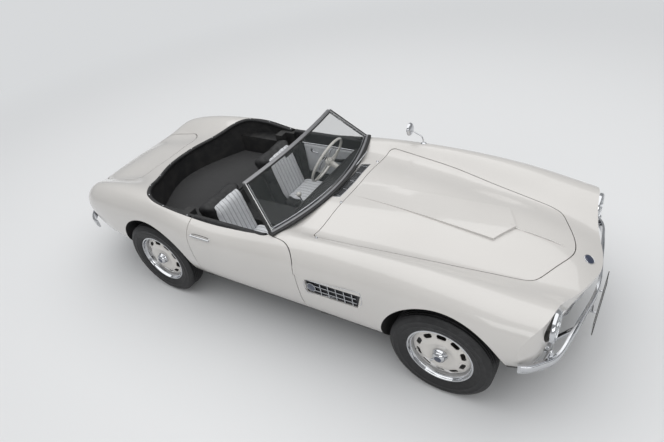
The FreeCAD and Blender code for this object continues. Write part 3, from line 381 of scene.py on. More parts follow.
SKIN_NODES = ("front_body", "cabin_shell", "rear_body", "bonnet", "boot_lid", "door_left", "door_right")
WHEEL_PLACES = ("front_left", "front_right", "rear_left", "rear_right")
FINISH_NODES = {
    "paint": SKIN_NODES,
    "carpet": ("floor_pan", "cockpit_liner"),
    "frame_metal": ("chassis_frame", "rear_axle", "front_suspension", "knuckle_left", "knuckle_right"),
    "alloy": ("engine",),
    "black_leather": ("seat_left", "seat_right", "dashboard", "door_trim_left", "door_trim_right"),
    "ivory": ("steering_wheel", "steering_column"),
    "glass": ("windscreen_glass",),
    "chrome": ("windscreen_frame", "door_handle_left", "door_handle_right", "headlamps", "indicators",
               "tail_lamps", "front_bumper", "rear_bumper", "wing_mirror", "wipers"),
    "lamp_clear": ("headlamp_lenses",),
    "vent_metal": ("grilles",),
    "plate": ("number_plates",),
    "exhaust_steel": ("exhaust",),
    "tyre": [f"tyre_{place}" for place in WHEEL_PLACES],
    "wheel_paint": [f"wheel_{place}" for place in WHEEL_PLACES],
}
for finish, dressed in FINISH_NODES.items():
    for name in dressed:
        dress(nodes[name], finish)


# Workshop tools: each works on one piece, selected alone.
def alone(obj):
    bpy.ops.object.select_all(action="DESELECT")
    obj.select_set(True)
    bpy.context.view_layer.objects.active = obj
    return obj


def linked(name, data):
    obj = bpy.data.objects.new(name, data)
    bpy.context.scene.collection.objects.link(obj)
    return alone(obj)


def edit(obj, kind="FACE"):
    alone(obj)
    bpy.ops.object.mode_set(mode="EDIT")
    bpy.ops.mesh.select_mode(type=kind)
    bpy.ops.mesh.select_all(action="SELECT")


def pick(obj, test, kind="FACE"):
    """Opens a piece for editing with only the faces or edges selected whose middle and normal pass a test."""
    edit(obj, kind)
    bpy.ops.mesh.select_all(action="DESELECT")
    bpy.ops.object.mode_set(mode="OBJECT")
    mesh = obj.data
    if kind == "FACE":
        for face in mesh.polygons:
            face.select = bool(test(face.center, face.normal))
    else:
        for seam in mesh.edges:
            a, b = (mesh.vertices[i].co for i in seam.vertices)
            seam.select = bool(test((a + b) / 2, (b - a).normalized()))
    bpy.ops.object.mode_set(mode="EDIT")


def shut():
    bpy.ops.object.mode_set(mode="OBJECT")


def apply(obj, kind, **settings):
    alone(obj)
    modifier = obj.modifiers.new(kind.lower(), kind)
    for name, setting in settings.items():
        setattr(modifier, name, setting)
    bpy.ops.object.modifier_apply(modifier=modifier.name)


def bake_place(obj):
    alone(obj)
    bpy.ops.object.transform_apply(location=True, rotation=True, scale=True)
    return obj


def line(name, points, closed=False, straight=True):
    """An open or closed line through points, straight or smooth."""
    curve = bpy.data.curves.new(name, "CURVE")
    curve.dimensions = "3D"
    curve.twist_mode = "Z_UP"
    spline = curve.splines.new("POLY" if straight else "BEZIER")
    knots = spline.points if straight else spline.bezier_points
    knots.add(len(points) - 1)
    for knot, place in zip(knots, points):
        knot.co = (*place, 1) if straight else place
        if not straight:
            knot.handle_left_type = knot.handle_right_type = "AUTO"
    spline.use_cyclic_u = closed
    return linked(name, curve)


def tube(name, points, radius=0.0, closed=False, straight=False, section=None, steps=8, rings=3):
    """A bar along a line through points: round, or of a section given by width, height and corner (mm)."""
    bar = line(name, points, closed, straight)
    bar.data.resolution_u = steps
    bar.data.bevel_resolution = rings
    bar.data.use_fill_caps = True
    outline = None
    if section:
        wide, tall, corner = (measure / 1000 for measure in section)
        w, t = wide / 2, tall / 2
        outline = line("outline", [(-w + corner, -t, 0), (w - corner, -t, 0), (w, -t + corner, 0),
                                   (w, t - corner, 0), (w - corner, t, 0), (-w + corner, t, 0),
                                   (-w, t - corner, 0), (-w, -t + corner, 0)], closed=True)
        bar.data.bevel_mode = "OBJECT"
        bar.data.bevel_object = outline
    else:
        bar.data.bevel_depth = radius / 1000
    alone(bar)
    bpy.ops.object.convert(target="MESH")
    bar = bpy.context.object
    if outline:
        bpy.data.objects.remove(outline)
    edit(bar)
    bpy.ops.mesh.remove_doubles(threshold=1e-6)
    bpy.ops.mesh.normals_make_consistent(inside=False)
    shut()
    return bar


def turned(name, profile, centre=(0, 0, 0), axis=(0, 0, 1), start=(1, 0, 0), steps=64):
    """A piece turned about an axis from a profile of radius and height, in millimetres.

    A profile that touches the axis stays open, and any other is closed."""
    centre, axis, start = Vector(centre), Vector(axis).normalized(), Vector(start)
    places = [centre + start * (r / 1000) + axis * (h / 1000) for r, h in profile]
    piece = line(name, places, closed=min(r for r, h in profile) > 0)
    bpy.ops.object.convert(target="MESH")
    piece = bpy.context.object
    edit(piece, "VERT")
    bpy.ops.mesh.spin(steps=steps, angle=2 * math.pi, center=centre, axis=axis)
    bpy.ops.mesh.select_all(action="SELECT")
    bpy.ops.mesh.remove_doubles(threshold=1e-5)
    bpy.ops.mesh.normals_make_consistent(inside=False)
    shut()
    return piece


def box(middle, size):
    """A sharp box, to be bevelled, cut with or drawn out."""
    bpy.ops.object.select_all(action="DESELECT")
    bpy.ops.mesh.primitive_cube_add(size=1, location=middle)
    piece = bpy.context.object
    piece.scale = size
    return bake_place(piece)


def rounded_box(name, low, high, radius, segments=3):
    low, high = Vector(low), Vector(high)
    piece = box((low + high) / 2, high - low)
    piece.name = name
    apply(piece, "BEVEL", width=radius, segments=segments, limit_method="NONE")
    return piece


def copy_of(source, name, place):
    """A copy with its own mesh, put in its place, and turned the right way out when mirrored."""
    mesh = source.data.copy()
    mesh.name = name
    mesh.transform(place)
    if place.determinant() < 0:
        mesh.flip_normals()
    return linked(name, mesh)


def merged(name, pieces):
    bpy.ops.object.select_all(action="DESELECT")
    for piece in pieces:
        piece.select_set(True)
    bpy.context.view_layer.objects.active = pieces[0]
    if len(pieces) > 1:
        bpy.ops.object.join()
    whole = bpy.context.object
    whole.name = name
    return whole


def fit_piece(piece, finish, body="body", instead=(), angle=35):
    """Gives a piece its smooth shading, its finish, the body that it moves with and what it replaces."""
    alone(piece)
    bpy.ops.object.shade_smooth_by_angle(angle=math.radians(angle))
    dress(piece, finish)
    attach(piece, body)
    if instead:
        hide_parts(*instead)
    return piece


def spun(degrees, axis):
    return Matrix.Rotation(math.radians(degrees), 4, axis)


MIRROR = Matrix.Diagonal((1, -1, 1, 1))
SIDES = (("left", 1), ("right", -1))
SIDE_PLACES = (("left", Matrix.Identity(4)), ("right", MIRROR))


def against(start, heading, names=SKIN_NODES):
    """Where a line first meets the outside of the car, and the way the surface faces there."""
    best = None
    for name in names:
        hit, place, normal, face = nodes[name].ray_cast(Vector(start), Vector(heading))
        if hit and (best is None or (place - Vector(start)).length < (best[0] - Vector(start)).length):
            best = (place.copy(), normal.copy())
    return best


def over(x, y, names=SKIN_NODES):
    """The top of the body over a point of the plan, in millimetres from the datum."""
    return against(spot(x, y, 1400), (0, 0, -1), names)


def on_both_sides(name, pattern, finish, body="body", instead=None, angle=40):
    """Puts a pattern on the left side and its mirror on the right one. Names with {} take the side."""
    for side, place in SIDE_PLACES:
        piece = copy_of(pattern, f"{name}_{side}", place)
        replaced = [instead.format(side)] if instead else []
        fit_piece(piece, finish, body.format(side), replaced, angle)
    bpy.data.objects.remove(pattern)


def scattered(name, pattern, places):
    """Copies of a pattern at each place, as one piece."""
    whole = merged(name, [copy_of(pattern, name, place) for place in places])
    bpy.data.objects.remove(pattern)
    return whole


def aligned(place, normal):
    """The frame that puts a piece made at the origin, facing up, on a surface."""
    return Matrix.Translation(place) @ Vector((0, 0, 1)).rotation_difference(normal).to_matrix().to_4x4()


# Road wheels: a white dished disc with slots, a stepped polished ring, a spinner, a drum and the tyre.
WHEEL_SLOTS = 10
RIB_RADIUS = 0.3338


def wheel_set():
    """One wheel's pieces round the origin, facing the car's right, each with its finish and slot."""
    axis = (0, -1, 0)
    disc = turned("disc", [(192.5, 16), (188, 23), (176, 30), (150, 38.5), (128, 45.5), (108, 50), (94, 50.5),
                           (82, 46), (66, 42), (50, 41), (30, 40), (30, 36), (66, 38), (94, 46.2),
                           (108, 45.8), (128, 41.3), (150, 34.3), (174, 25.8), (186.5, 18)], axis=axis,
                  steps=96)
    cutters = []
    for k in range(WHEEL_SLOTS):
        cutter = box((0, -0.025, 0.15), (0.062, 0.07, 0.029))
        pick(cutter, lambda c, d: abs(d.y) > 0.9, "EDGE")
        bpy.ops.mesh.bevel(offset=0.0125, segments=4, affect="EDGES")
        shut()
        cutter.data.transform(spun(360 / WHEEL_SLOTS * k, "Y"))
        cutters.append(cutter)
    slots = merged("slot_cutter", cutters)
    apply(disc, "BOOLEAN", operation="DIFFERENCE", solver="EXACT", object=slots)
    bpy.data.objects.remove(slots)
    ring = turned("ring", [(218, 60), (218.2, 65), (215, 66.8), (208.5, 66), (205, 60), (203.5, 48),
                           (200, 44.5), (196, 43), (193.8, 33), (193, 20), (187, 11), (183.5, 5.5),
                           (183.5, 0.5), (190, 4), (196.5, 18), (198, 39.5), (205.5, 44.5), (207.5, 59)],
                  axis=axis, steps=96)
    barrel = turned("barrel", [(215, 58), (206, 44), (200, 4), (204, -48), (215, -64), (212, -66), (198, -52),
                               (192.5, 0), (185, 0), (185, -3), (196, -3)], axis=axis, steps=64)
    drum = turned("drum", [(21, 19.5), (60, 19), (100, 4), (136, -2), (140, -8), (136.5, -10), (136.5, -15),
                           (140, -17), (140, -23), (136.5, -25), (136.5, -30), (140, -32), (140, -56),
                           (130, -58), (21, -20)], axis=axis, steps=64)
    spinner = turned("spinner", [(0, 90), (12, 89.4), (27, 85.5), (37.5, 78), (42.5, 68), (43.5, 59),
                                 (48, 54), (50.5, 47), (48, 40), (0, 40)], axis=axis, steps=48)
    ears = []
    for k in range(2):
        ear = box((0.06, -0.0655, 0), (0.054, 0.015, 0.027))
        pick(ear, lambda c, n: n.x > 0.9)
        bpy.ops.transform.resize(value=(1, 0.75, 0.62))
        bpy.ops.transform.translate(value=(0, -0.009, 0))
        shut()
        apply(ear, "SUBSURF", levels=3, render_levels=3)
        ear.data.transform(spun(180 * k + 62, "Y"))
        ears.append(ear)
    spinner = merged("spinner", [spinner] + ears)
    hub_disc = turned("hub_disc", [(0, 91.8), (12, 91.3), (21.5, 89.3), (22.8, 86.6), (22.8, 83), (0, 83)],
                      axis=axis, steps=36)
    valve = turned("valve", [(0, 30), (3, 29), (3.2, 10), (5.2, 8), (5.2, 0), (0, 0)],
                   centre=(0.0, -0.008, 0.176), axis=axis, steps=16)
    side = [(206.2, 56), (212, 61), (219, 64.5), (224, 69), (235, 73.5), (250, 78.2), (264, 80.6),
            (266, 82.2), (269, 82.2), (271, 81.2), (285, 81.5), (298, 80.8), (300, 81.8), (302.5, 81.8),
            (304.5, 80), (315, 76.5), (324, 71.5), (330.5, 65.5), (334, 60)]
    tread = [(334.8, 57), (335.2, 48), (329.5, 46.5), (329.5, 43), (335.6, 41.5), (336, 29), (330.2, 27.5),
             (330.2, 24), (336.2, 22.5), (336.4, 8), (330.6, 6.5), (330.6, 1.5)]
    half = side + tread
    tyre = turned("tyre", half + [(r, -h) for r, h in reversed(half)] + [(206.2, -20), (206.2, 20)],
                  axis=axis, steps=88)

    def on_rib(centre, normal):
        radius = math.hypot(centre.x, centre.z)
        return radius > RIB_RADIUS and (normal.x * centre.x + normal.z * centre.z) / radius > 0.8

    pick(tyre, on_rib)
    bpy.ops.mesh.inset(thickness=0.0013, use_individual=True)
    bpy.ops.transform.shrink_fatten(value=0.0016)
    shut()
    return [("wheel_disc", disc, "wheel_paint", "wheel_paint"), ("wheel_ring", ring, "chrome", None),
            ("wheel_barrel", barrel, "wheel_paint", "wheel_paint"), ("wheel_drum", drum, "drum", None),
            ("wheel_spinner", spinner, "chrome", None), ("wheel_hub_disc", hub_disc, "enamel", None),
            ("wheel_valve", valve, "gasket", None), ("road_tyre", tyre, "tyre", "tyre")]


HALF_TRACK = {"front": 0.7225, "rear": 0.7125}
ROLLING_RADIUS = 0.338
REPLACED = {"wheel_disc": "wheel", "road_tyre": "tyre"}
AXLES = {"front": 1.375 + AHEAD / 1000, "rear": -1.105 + AHEAD / 1000}
FIRST_SLOT = {"front": 14, "rear": 20}
wheel_pieces = wheel_set()
for corner in WHEEL_PLACES:
    end, side = corner.split("_")
    centre = Vector((AXLES[end], -HALF_TRACK[end], ROLLING_RADIUS))
    put = Matrix.Translation(centre) @ spun(-90 - FIRST_SLOT[end], "Y")
    if side == "left":
        put = MIRROR @ put
    for kind, pattern, finish, slot in wheel_pieces:
        piece = copy_of(pattern, f"{kind}_{corner}", put)
        instead = [f"{REPLACED[kind]}_{corner}"] if kind in REPLACED else []
        fit_piece(piece, finish, f"wheel_{corner}", instead, 40)
for kind, pattern, finish, slot in wheel_pieces:
    bpy.data.objects.remove(pattern)


# Seats: a black shell of cushion and back, swollen as stuffed leather is, with pleated grey panels on both.
SEAT_INNER, SEAT_OUTER, SEAT_FRONT = 150, 572, 25
BACK_LEAN = -14
SWELL, SWELL_TIME = 0.024, 20
QUILT_LIFT, GROOVE_DEPTH = 0.012, 0.0065


def stuffed(pad):
    """Swells a pad as air would, up to a limit, and leaves its corners round."""
    apply(pad, "REMESH", mode="VOXEL", voxel_size=0.006)
    start = [vertex.co.copy() for vertex in pad.data.vertices]
    alone(pad)
    cloth = pad.modifiers.new("stuffing", "CLOTH")
    cloth.settings.use_pressure = True
    cloth.settings.uniform_pressure_force = 4.0
    cloth.settings.effector_weights.gravity = 0.0
    cloth.settings.quality = 5
    cloth.point_cache.frame_start, cloth.point_cache.frame_end = 1, SWELL_TIME
    for moment in range(1, SWELL_TIME + 1):
        bpy.context.scene.frame_set(moment)
    bpy.ops.object.modifier_apply(modifier=cloth.name)
    for vertex, first in zip(pad.data.vertices, start):
        shift = vertex.co - first
        if shift.length > SWELL:
            vertex.co = first + shift * (SWELL / shift.length)
    apply(pad, "SMOOTH", factor=0.5, iterations=4)


def pleated(name, pad):
    """A panel of pleats laid on a pad: it follows the pad's crown, and its grooves are pressed in."""
    rows = 14
    bpy.ops.object.select_all(action="DESELECT")
    bpy.ops.mesh.primitive_grid_add(x_subdivisions=rows, y_subdivisions=PLEATS * 2, size=1,
                                    location=(0, 0, 0.2))
    panel = bpy.context.object
    panel.name = name
    panel.scale = (QUILT_LONG, QUILT_WIDE, 1)
    bake_place(panel)
    pick(panel, lambda c, n: abs(c.x) > QUILT_LONG / 2 * (1 - 2 / rows))
    bpy.ops.transform.resize(value=(1, 0.9, 1))
    shut()
    apply(panel, "SHRINKWRAP", target=pad, wrap_method="PROJECT", use_project_z=True,
          use_negative_direction=True, use_positive_direction=False, offset=QUILT_LIFT)
    apply(panel, "SUBSURF", levels=1, render_levels=1)

    def groove(point):
        seam = (point.y + QUILT_WIDE / 2) / PLEAT
        return abs(seam - round(seam)) < 0.13

    pick(panel, lambda c, d: abs(d.x) > 0.8 and groove(c) and abs(c.y) < QUILT_WIDE * 0.47, "EDGE")
    bpy.ops.transform.translate(value=(0, 0, -GROOVE_DEPTH))
    shut()
    apply(panel, "SUBSURF", levels=2, render_levels=2)
    apply(panel, "SOLIDIFY", thickness=0.01, offset=-1.0)
    return panel


def seat_pieces():
    """The left seat's four pieces, with the back first made lying down and then stood up."""
    low, high = spot(SEAT_FRONT - 505, SEAT_INNER + 8, 322), spot(SEAT_FRONT - 8, SEAT_OUTER - 8, 442)
    cushion = rounded_box("seat_cushion", low, high, 0.034, 4)
    stuffed(cushion)
    middle = (low + high) / 2
    cushion.data.transform(Matrix.Translation(-middle))
    quilt = pleated("cushion_pleats", cushion)
    for piece in (cushion, quilt):
        piece.data.transform(Matrix.Translation(middle))
    quilt.data.transform(Matrix.Translation((-0.018, 0, 0)))
    back = rounded_box("seat_back", (-0.252, -0.203, -0.07), (0.252, 0.203, 0.066), 0.04, 4)
    stuffed(back)
    fold = pleated("back_pleats", back)
    up = (Matrix.Translation(spot(SEAT_FRONT - 560, (SEAT_INNER + SEAT_OUTER) / 2, 330))
          @ spun(BACK_LEAN, "Y") @ Matrix.Translation((0, 0, 0.262))
          @ Matrix(((0, 0, 1, 0), (0, 1, 0, 0), (-1, 0, 0, 0), (0, 0, 0, 1))))
    for piece in (back, fold):
        piece.data.transform(up)
    return {"seat_cushion": (cushion, "black_leather"), "cushion_pleats": (quilt, "seat_leather"),
            "seat_back": (back, "black_leather"), "back_pleats": (fold, "seat_leather")}


for kind, (pattern, finish) in seat_pieces().items():
    instead = "seat_{}" if kind == "seat_cushion" else None
    on_both_sides(kind, pattern, finish, "body", instead, 60)

# Seat bases: a low black plinth from the floor to each cushion.
PLINTH_INSET = 34
for side, sign in SIDES:
    y_in, y_out = (SEAT_INNER + PLINTH_INSET) * sign, (SEAT_OUTER - PLINTH_INSET) * sign
    low, high = min(y_in, y_out), max(y_in, y_out)
    plinth = rounded_box(f"seat_plinth_{side}", spot(SEAT_FRONT - 470, low, 275),
                         spot(SEAT_FRONT - 70, high, 330), 0.008)
    fit_piece(plinth, "carpet")

# Padded roll round the open edge of the cockpit, over the doors and behind, with press studs.
ROLL, ROLL_SUNK, ROLL_INWARD = 17, 6, 11
STEP_OUT = 24


def edge_height(x, y):
    """The body's height just outside the cockpit's edge."""
    away = Vector((min(x + 560, 0), y)).normalized() * STEP_OUT
    return over(x + away.x, y + away.y)[0].z * 1000


def roll_along(name, plan, body):
    """A padded roll along a line of the plan, a little inside the body's edge and sunk into it."""
    points = []
    for x, y in plan:
        inside = y - math.copysign(ROLL_INWARD, y) if y else y
        points.append(spot(x, inside, edge_height(x, y) - ROLL_SUNK))
    piece = tube(name, points, ROLL, steps=6, rings=4)
    fit_piece(piece, "black_leather", body, angle=60)
    return piece


REAR_EDGE = [(-640, 705), (-760, 709), (-860, 711), (-950, 707), (-1040, 689), (-1110, 654), (-1170, 604),
             (-1226, 534), (-1285, 440), (-1336, 350), (-1384, 258), (-1420, 165), (-1440, 80), (-1448, 0)]
rear_plan = [(x + 12 if y < 640 else x, y) for x, y in REAR_EDGE]
rear_plan += [(x, -y) for x, y in reversed(rear_plan[:-1])]
roll_along("cockpit_roll_rear", rear_plan, "body")
DOOR_EDGE = [(-592, 703), (-450, 702), (-300, 701), (-150, 700), (0, 699), (96, 694)]
for side, sign in SIDES:
    roll_along(f"door_roll_{side}", [(x, y * sign) for x, y in DOOR_EDGE], f"door_{side}")

stud_pattern = turned("stud", [(0, 4.2), (2, 4), (4.2, 2.8), (5.2, 1), (5.6, -1), (0, -1)], steps=18)
STUDS = [(-660, 705), (-900, 711), (-1090, 666), (-1210, 556), (-1336, 350), (-1425, 150), (-1425, -150),
         (-1336, -350), (-1210, -556), (-1090, -666), (-900, -711), (-660, -705)]
stud_places = []
for x, y in STUDS:
    inward = Vector((14 if abs(y) < 640 else 0, -math.copysign(ROLL_INWARD, y), 0)) / 1000
    stud_places.append(Matrix.Translation(spot(x, y, edge_height(x, y) - ROLL_SUNK + ROLL - 0.4) + inward))
fit_piece(scattered("press_studs", stud_pattern, stud_places), "chrome", "body")


# Windscreen: a flat head rail, raked posts, a thick rubber foot with a bright band, and a strip inside.
def screen_foot(y, lift, ahead):
    """A point of the windscreen's foot, which bows back towards its ends."""
    part = (y / 676) ** 2
    return spot(278 - 126 * part + ahead, y, 887.5 + 13.4 * part + lift)


def screen_head(y, lift, ahead):
    """A point of the windscreen's top edge."""
    part = (y / 559) ** 2
    return spot(-60 - 40 * part + ahead, y, 1171 - 6 * part + lift)


ACROSS = (-1, -0.85, -0.65, -0.42, -0.2, 0, 0.2, 0.42, 0.65, 0.85, 1)
# Each rail's line, half width, lift, step ahead, section, finish, slot and smoothing angle.
SCREEN_RAILS = {
    "screen_head_rail": (screen_head, 559, 2, -3, (34, 14, 5), "satin_rail", "frame_metal", 35),
    "screen_head_seal": (screen_head, 556, -8, 6, (20, 15, 4), "gasket", "frame_metal", 35),
    "screen_foot_seal": (screen_foot, 694, -7, 6, (60, 22, 8), "gasket", "frame_metal", 50),
    "screen_foot_band": (screen_foot, 684, 6, 6, (20, 9, 3), "satin_rail", "frame_metal", 35),
    "screen_inner_strip": (screen_foot, 650, 16, -14, (4, 10, 1), "chrome", "chrome", 35),
}
for name, (curve, half, lift, ahead, section, finish, slot, angle) in SCREEN_RAILS.items():
    rail = tube(name, [curve(half * k, lift, ahead) for k in ACROSS], section=section, steps=6)
    fit_piece(rail, finish, "body", ["windscreen_frame"] if name == "screen_head_rail" else [], angle)
for side, sign in SIDES:
    foot, head = screen_foot(678 * sign, -6, -2), screen_head(560 * sign, 4, -2)
    lean = (head - foot).normalized()
    rail = [foot + (head - foot) * k for k in (0, 0.25, 0.5, 0.75, 1)]
    inboard = offset(3, -7 * sign)
    post = tube(f"screen_post_{side}", [p + inboard for p in rail], section=(12, 18, 4), steps=4)
    fit_piece(post, "bright_rail", "body")
    outboard = offset(-4, 6 * sign)
    seal = tube(f"screen_post_seal_{side}", [p + outboard for p in rail[:-1] + [rail[-1] - lean * 0.01]],
                section=(20, 24, 7), steps=4)
    fit_piece(seal, "gasket", "body")
    bead = tube(f"pane_bead_{side}", [p + offset(6, -24 * sign) for p in rail], section=(3, 6, 1), steps=4)
    fit_piece(bead, "chrome", "body")
    ferrule = rounded_box(f"post_foot_{side}", (-0.021, -0.016, -0.012), (0.021, 0.016, 0.016), 0.006)
    ferrule.data.transform(Matrix.Translation(foot + offset(up=-2)))
    fit_piece(ferrule, "gasket", "body")

# Inside mirror on the head rail's middle.
stalk_top = screen_head(0, -12, -6)
stalk = tube("inside_mirror_stalk", [stalk_top, stalk_top + offset(-12, 0, -22),
                                     stalk_top + offset(-30, 0, -40)], 5, steps=6)
fit_piece(stalk, "chrome")
glass_back = rounded_box("inside_mirror", (-0.006, -0.085, -0.02), (0.006, 0.085, 0.02), 0.0055, 4)
glass_back.data.transform(Matrix.Translation(stalk_top + offset(-34, 0, -46)) @ spun(-12, "Y"))
fit_piece(glass_back, "black_metal")


def ring_profile(radius, height, wide, tall, count):
    """The oval section of a ring, as a profile."""
    turns = [2 * math.pi * k / count for k in range(count)]
    return [(radius + wide * math.cos(a), height + tall * math.sin(a)) for a in turns]


def ray_at(degrees):
    return Vector((math.cos(math.radians(degrees)), math.sin(math.radians(degrees)), 0))


# Steering wheel: a thin ivory rim, three pairs of spokes, a bright horn ring and a domed boss.
SPOKE = [(22, 9, -16), (90, 11, -16), (160, 14, -7), (200.5, 17, 0)]
STEERING_CENTRE, STEERING_TILT = spot(-55, 350, 825), -62
wheel_turn = Matrix.Translation(STEERING_CENTRE) @ spun(STEERING_TILT, "Y")
rim = turned("steering_rim", ring_profile(203, 0, 10, 11.5, 14), steps=72)
grips = [rim]
for k in range(3):
    ray = ray_at(90 + 120 * k)
    cross = Vector((-ray.y, ray.x, 0))
    for s in (1, -1):
        grips.append(tube("spoke", [ray * (out / 1000) + cross * (aside * s / 1000) + offset(up=up)
                                    for out, aside, up in SPOKE], 4.2, steps=5))
steering = merged("steering_rim_and_spokes", grips)
steering.data.transform(wheel_turn)
fit_piece(steering, "ivory", "steering_wheel", ["steering_wheel"], 50)
boss = turned("steering_boss", [(0, 10), (10, 9.5), (20, 6), (23.5, 1), (30, -2), (34, -12), (33, -38),
                                (0, -38)], steps=40)
boss.data.transform(wheel_turn)
fit_piece(boss, "ivory", "steering_wheel")
horn = turned("horn_ring", ring_profile(118, -4, 3.2, 3.2, 8), steps=56)
arms = [horn]
for ray in (ray_at(0), ray_at(180)):
    arms.append(tube("horn_arm", [ray * 0.02 + offset(up=-6), ray * 0.118 + offset(up=-4)], 2.8, steps=3))
horn = merged("horn_ring", arms)
horn.data.transform(wheel_turn)
fit_piece(horn, "chrome", "steering_wheel", angle=50)

# Dashboard: a padded roll along its top edge, a painted fascia, two dials, a clock, knobs and a glovebox lid.
DASH = 71
TICKS = 22
TO_SEATS = spun(-90, "Y")
dash_roll = tube("dash_roll", [spot(DASH + 8, y, 796 - 6 * (y / 600) ** 2)
                               for y in (-606, -480, -300, -100, 100, 300, 480, 606)], 17, steps=6, rings=4)
fit_piece(dash_roll, "black_leather", "body", angle=60)
fascia = rounded_box("fascia", spot(DASH - 6, -604, 650), spot(DASH + 3, 604, 778), 0.004, 3)
fit_piece(fascia, "black_metal")


def dial(name, y, z, radius):
    """One instrument: bezel, face, ticks round it, needle and boss, all facing the seats."""
    place = Matrix.Translation(spot(DASH - 6, y, z)) @ TO_SEATS
    inside = radius - 8
    bezel = turned("bezel", [(radius, 0), (radius, 6), (radius - 4, 8), (radius - 7, 6), (inside, 2),
                             (inside, 0)], steps=48)
    face = turned("face", [(0, 2.2), (radius - 7, 2.2), (radius - 7, 0.2), (0, 0.2)], steps=48)
    ticks = []
    for k in range(TICKS):
        ray = ray_at(-135 + k * 270 / (TICKS - 1)) * (radius / 1000)
        inner = 0.7 if k % 3 == 0 else 0.78
        ends = [ray * (1 - 10 / radius) + offset(up=2.4), ray * inner + offset(up=2.4)]
        ticks.append(tube("tick", ends, 0.7, steps=1, rings=1))
    needle = Vector((math.cos(0.8), math.sin(0.8), 0)) * (radius / 1000)
    for reach in (0.68, -0.15):
        ticks.append(tube("needle", [offset(up=3.4), needle * reach + offset(up=3.4)], 1.2, steps=1, rings=1))
    hub = turned("hub", [(0, 6), (3.5, 5.5), (4.8, 3.5), (5, 2.2), (0, 2.2)], steps=20)
    for piece, part, finish in ((bezel, "bezel", "chrome"), (face, "face", "dial"),
                                (merged("ticks", ticks + [hub]), "marks", "dial_marks")):
        piece.name = f"{name}_{part}"
        piece.data.transform(place)
        fit_piece(piece, finish, angle=40)


dial("speedometer", 292, 716, 53)
dial("rev_counter", 412, 716, 53)
dial("clock", -120, 716, 36)
knob_pattern = turned("knob", [(0, 26), (7, 25.5), (10.5, 22), (11, 18), (8, 13), (3.5, 10), (3.5, 3),
                               (7.5, 1.5), (8, 0), (0, 0)], steps=28)
KNOBS = [(200, 690), (150, 690), (100, 690), (50, 690), (0, 690), (200, 745), (150, 745), (520, 700)]
knobs = [copy_of(knob_pattern, "knob", Matrix.Translation(spot(DASH - 6, y, z)) @ TO_SEATS) for y, z in KNOBS]
fit_piece(merged("dash_knobs", knobs), "ivory", angle=50)
glove_lid = rounded_box("glovebox_lid", spot(DASH - 11, -530, 666), spot(DASH - 5, -210, 762), 0.0035, 3)
fit_piece(glove_lid, "black_leather")
glove_knob = copy_of(knob_pattern, "glovebox_knob", Matrix.Translation(spot(DASH - 11, -370, 748)) @ TO_SEATS)
fit_piece(glove_knob, "chrome")
bpy.data.objects.remove(knob_pattern)
speaker = rounded_box("speaker_grille", spot(DASH - 9, -70, 662), spot(DASH - 5, 30, 674), 0.0015, 2)
fit_piece(speaker, "chrome")

# Gear lever, handbrake and pedals.
floor_top = over(-40, 0, ("floor_pan",))[0].z * 1000
lever = [spot(-60, 0, floor_top - 4), spot(-70, 0, floor_top + 90), spot(-110, 0, floor_top + 190),
         spot(-130, 0, floor_top + 250)]
fit_piece(tube("gear_stick", lever, 6, steps=6), "chrome")
gaiter = turned("gear_gaiter", [(52, -4), (50, 4), (38, 12), (30, 30), (20, 36), (19, 50), (12, 56), (10, 72),
                                (7, 76), (0, 76)], centre=spot(-62, 0, floor_top), steps=36)
fit_piece(gaiter, "gasket")
gear_knob = turned("gear_knob", [(0, 21), (10, 19.5), (18, 13), (21.5, 3), (20.5, -6), (14, -15), (8, -20),
                                 (7.5, -26), (0, -26)], centre=spot(-132, 0, floor_top + 266), steps=36)
fit_piece(gear_knob, "ivory")
brake = [spot(-300, -60, floor_top + 4), spot(-250, -60, floor_top + 46), spot(-120, -60, floor_top + 90)]
fit_piece(tube("handbrake", brake, 8, steps=6), "chrome")
grip = [spot(-212, -60, floor_top + 58), spot(-110, -60, floor_top + 94)]
fit_piece(tube("handbrake_grip", grip, 12.5, steps=6, rings=4), "gasket")
for name, y, wide in (("accelerator", 250, 34), ("brake_pedal", 330, 46), ("clutch_pedal", 420, 46)):
    foot = over(250, y, ("floor_pan",))[0].z * 1000
    pad = rounded_box(name + "_pad", (-0.008, -wide / 2000, -0.034), (0.006, wide / 2000, 0.034), 0.004, 3)
    pad.data.transform(Matrix.Translation(spot(268, y, foot + 120)) @ spun(-28, "Y"))
    fit_piece(pad, "gasket")
    fit_piece(tube(name + "_arm", [spot(277, y, foot + 120), spot(300, y, foot + 180),
                                   spot(330, y, foot + 300)], 7, steps=6), "frame_metal")

# Door cards: a pale ribbed panel under a bright strip, a winder, an inner handle and an arm pull.
CARD = 655.7


def card_insert():
    panel = rounded_box("card_insert", spot(-506, CARD - 7, 452), spot(84, CARD + 1, 748), 0.0035, 3)
    pick(panel, lambda c, n: n.y < -0.9 and abs(c.x - spot(-211, 0, 0).x) < 0.3)
    bpy.ops.mesh.inset(thickness=0.022)
    bpy.ops.mesh.inset(thickness=0.004, depth=-0.003)
    bpy.ops.mesh.inset(thickness=0.01, depth=0.004)
    shut()
    return panel


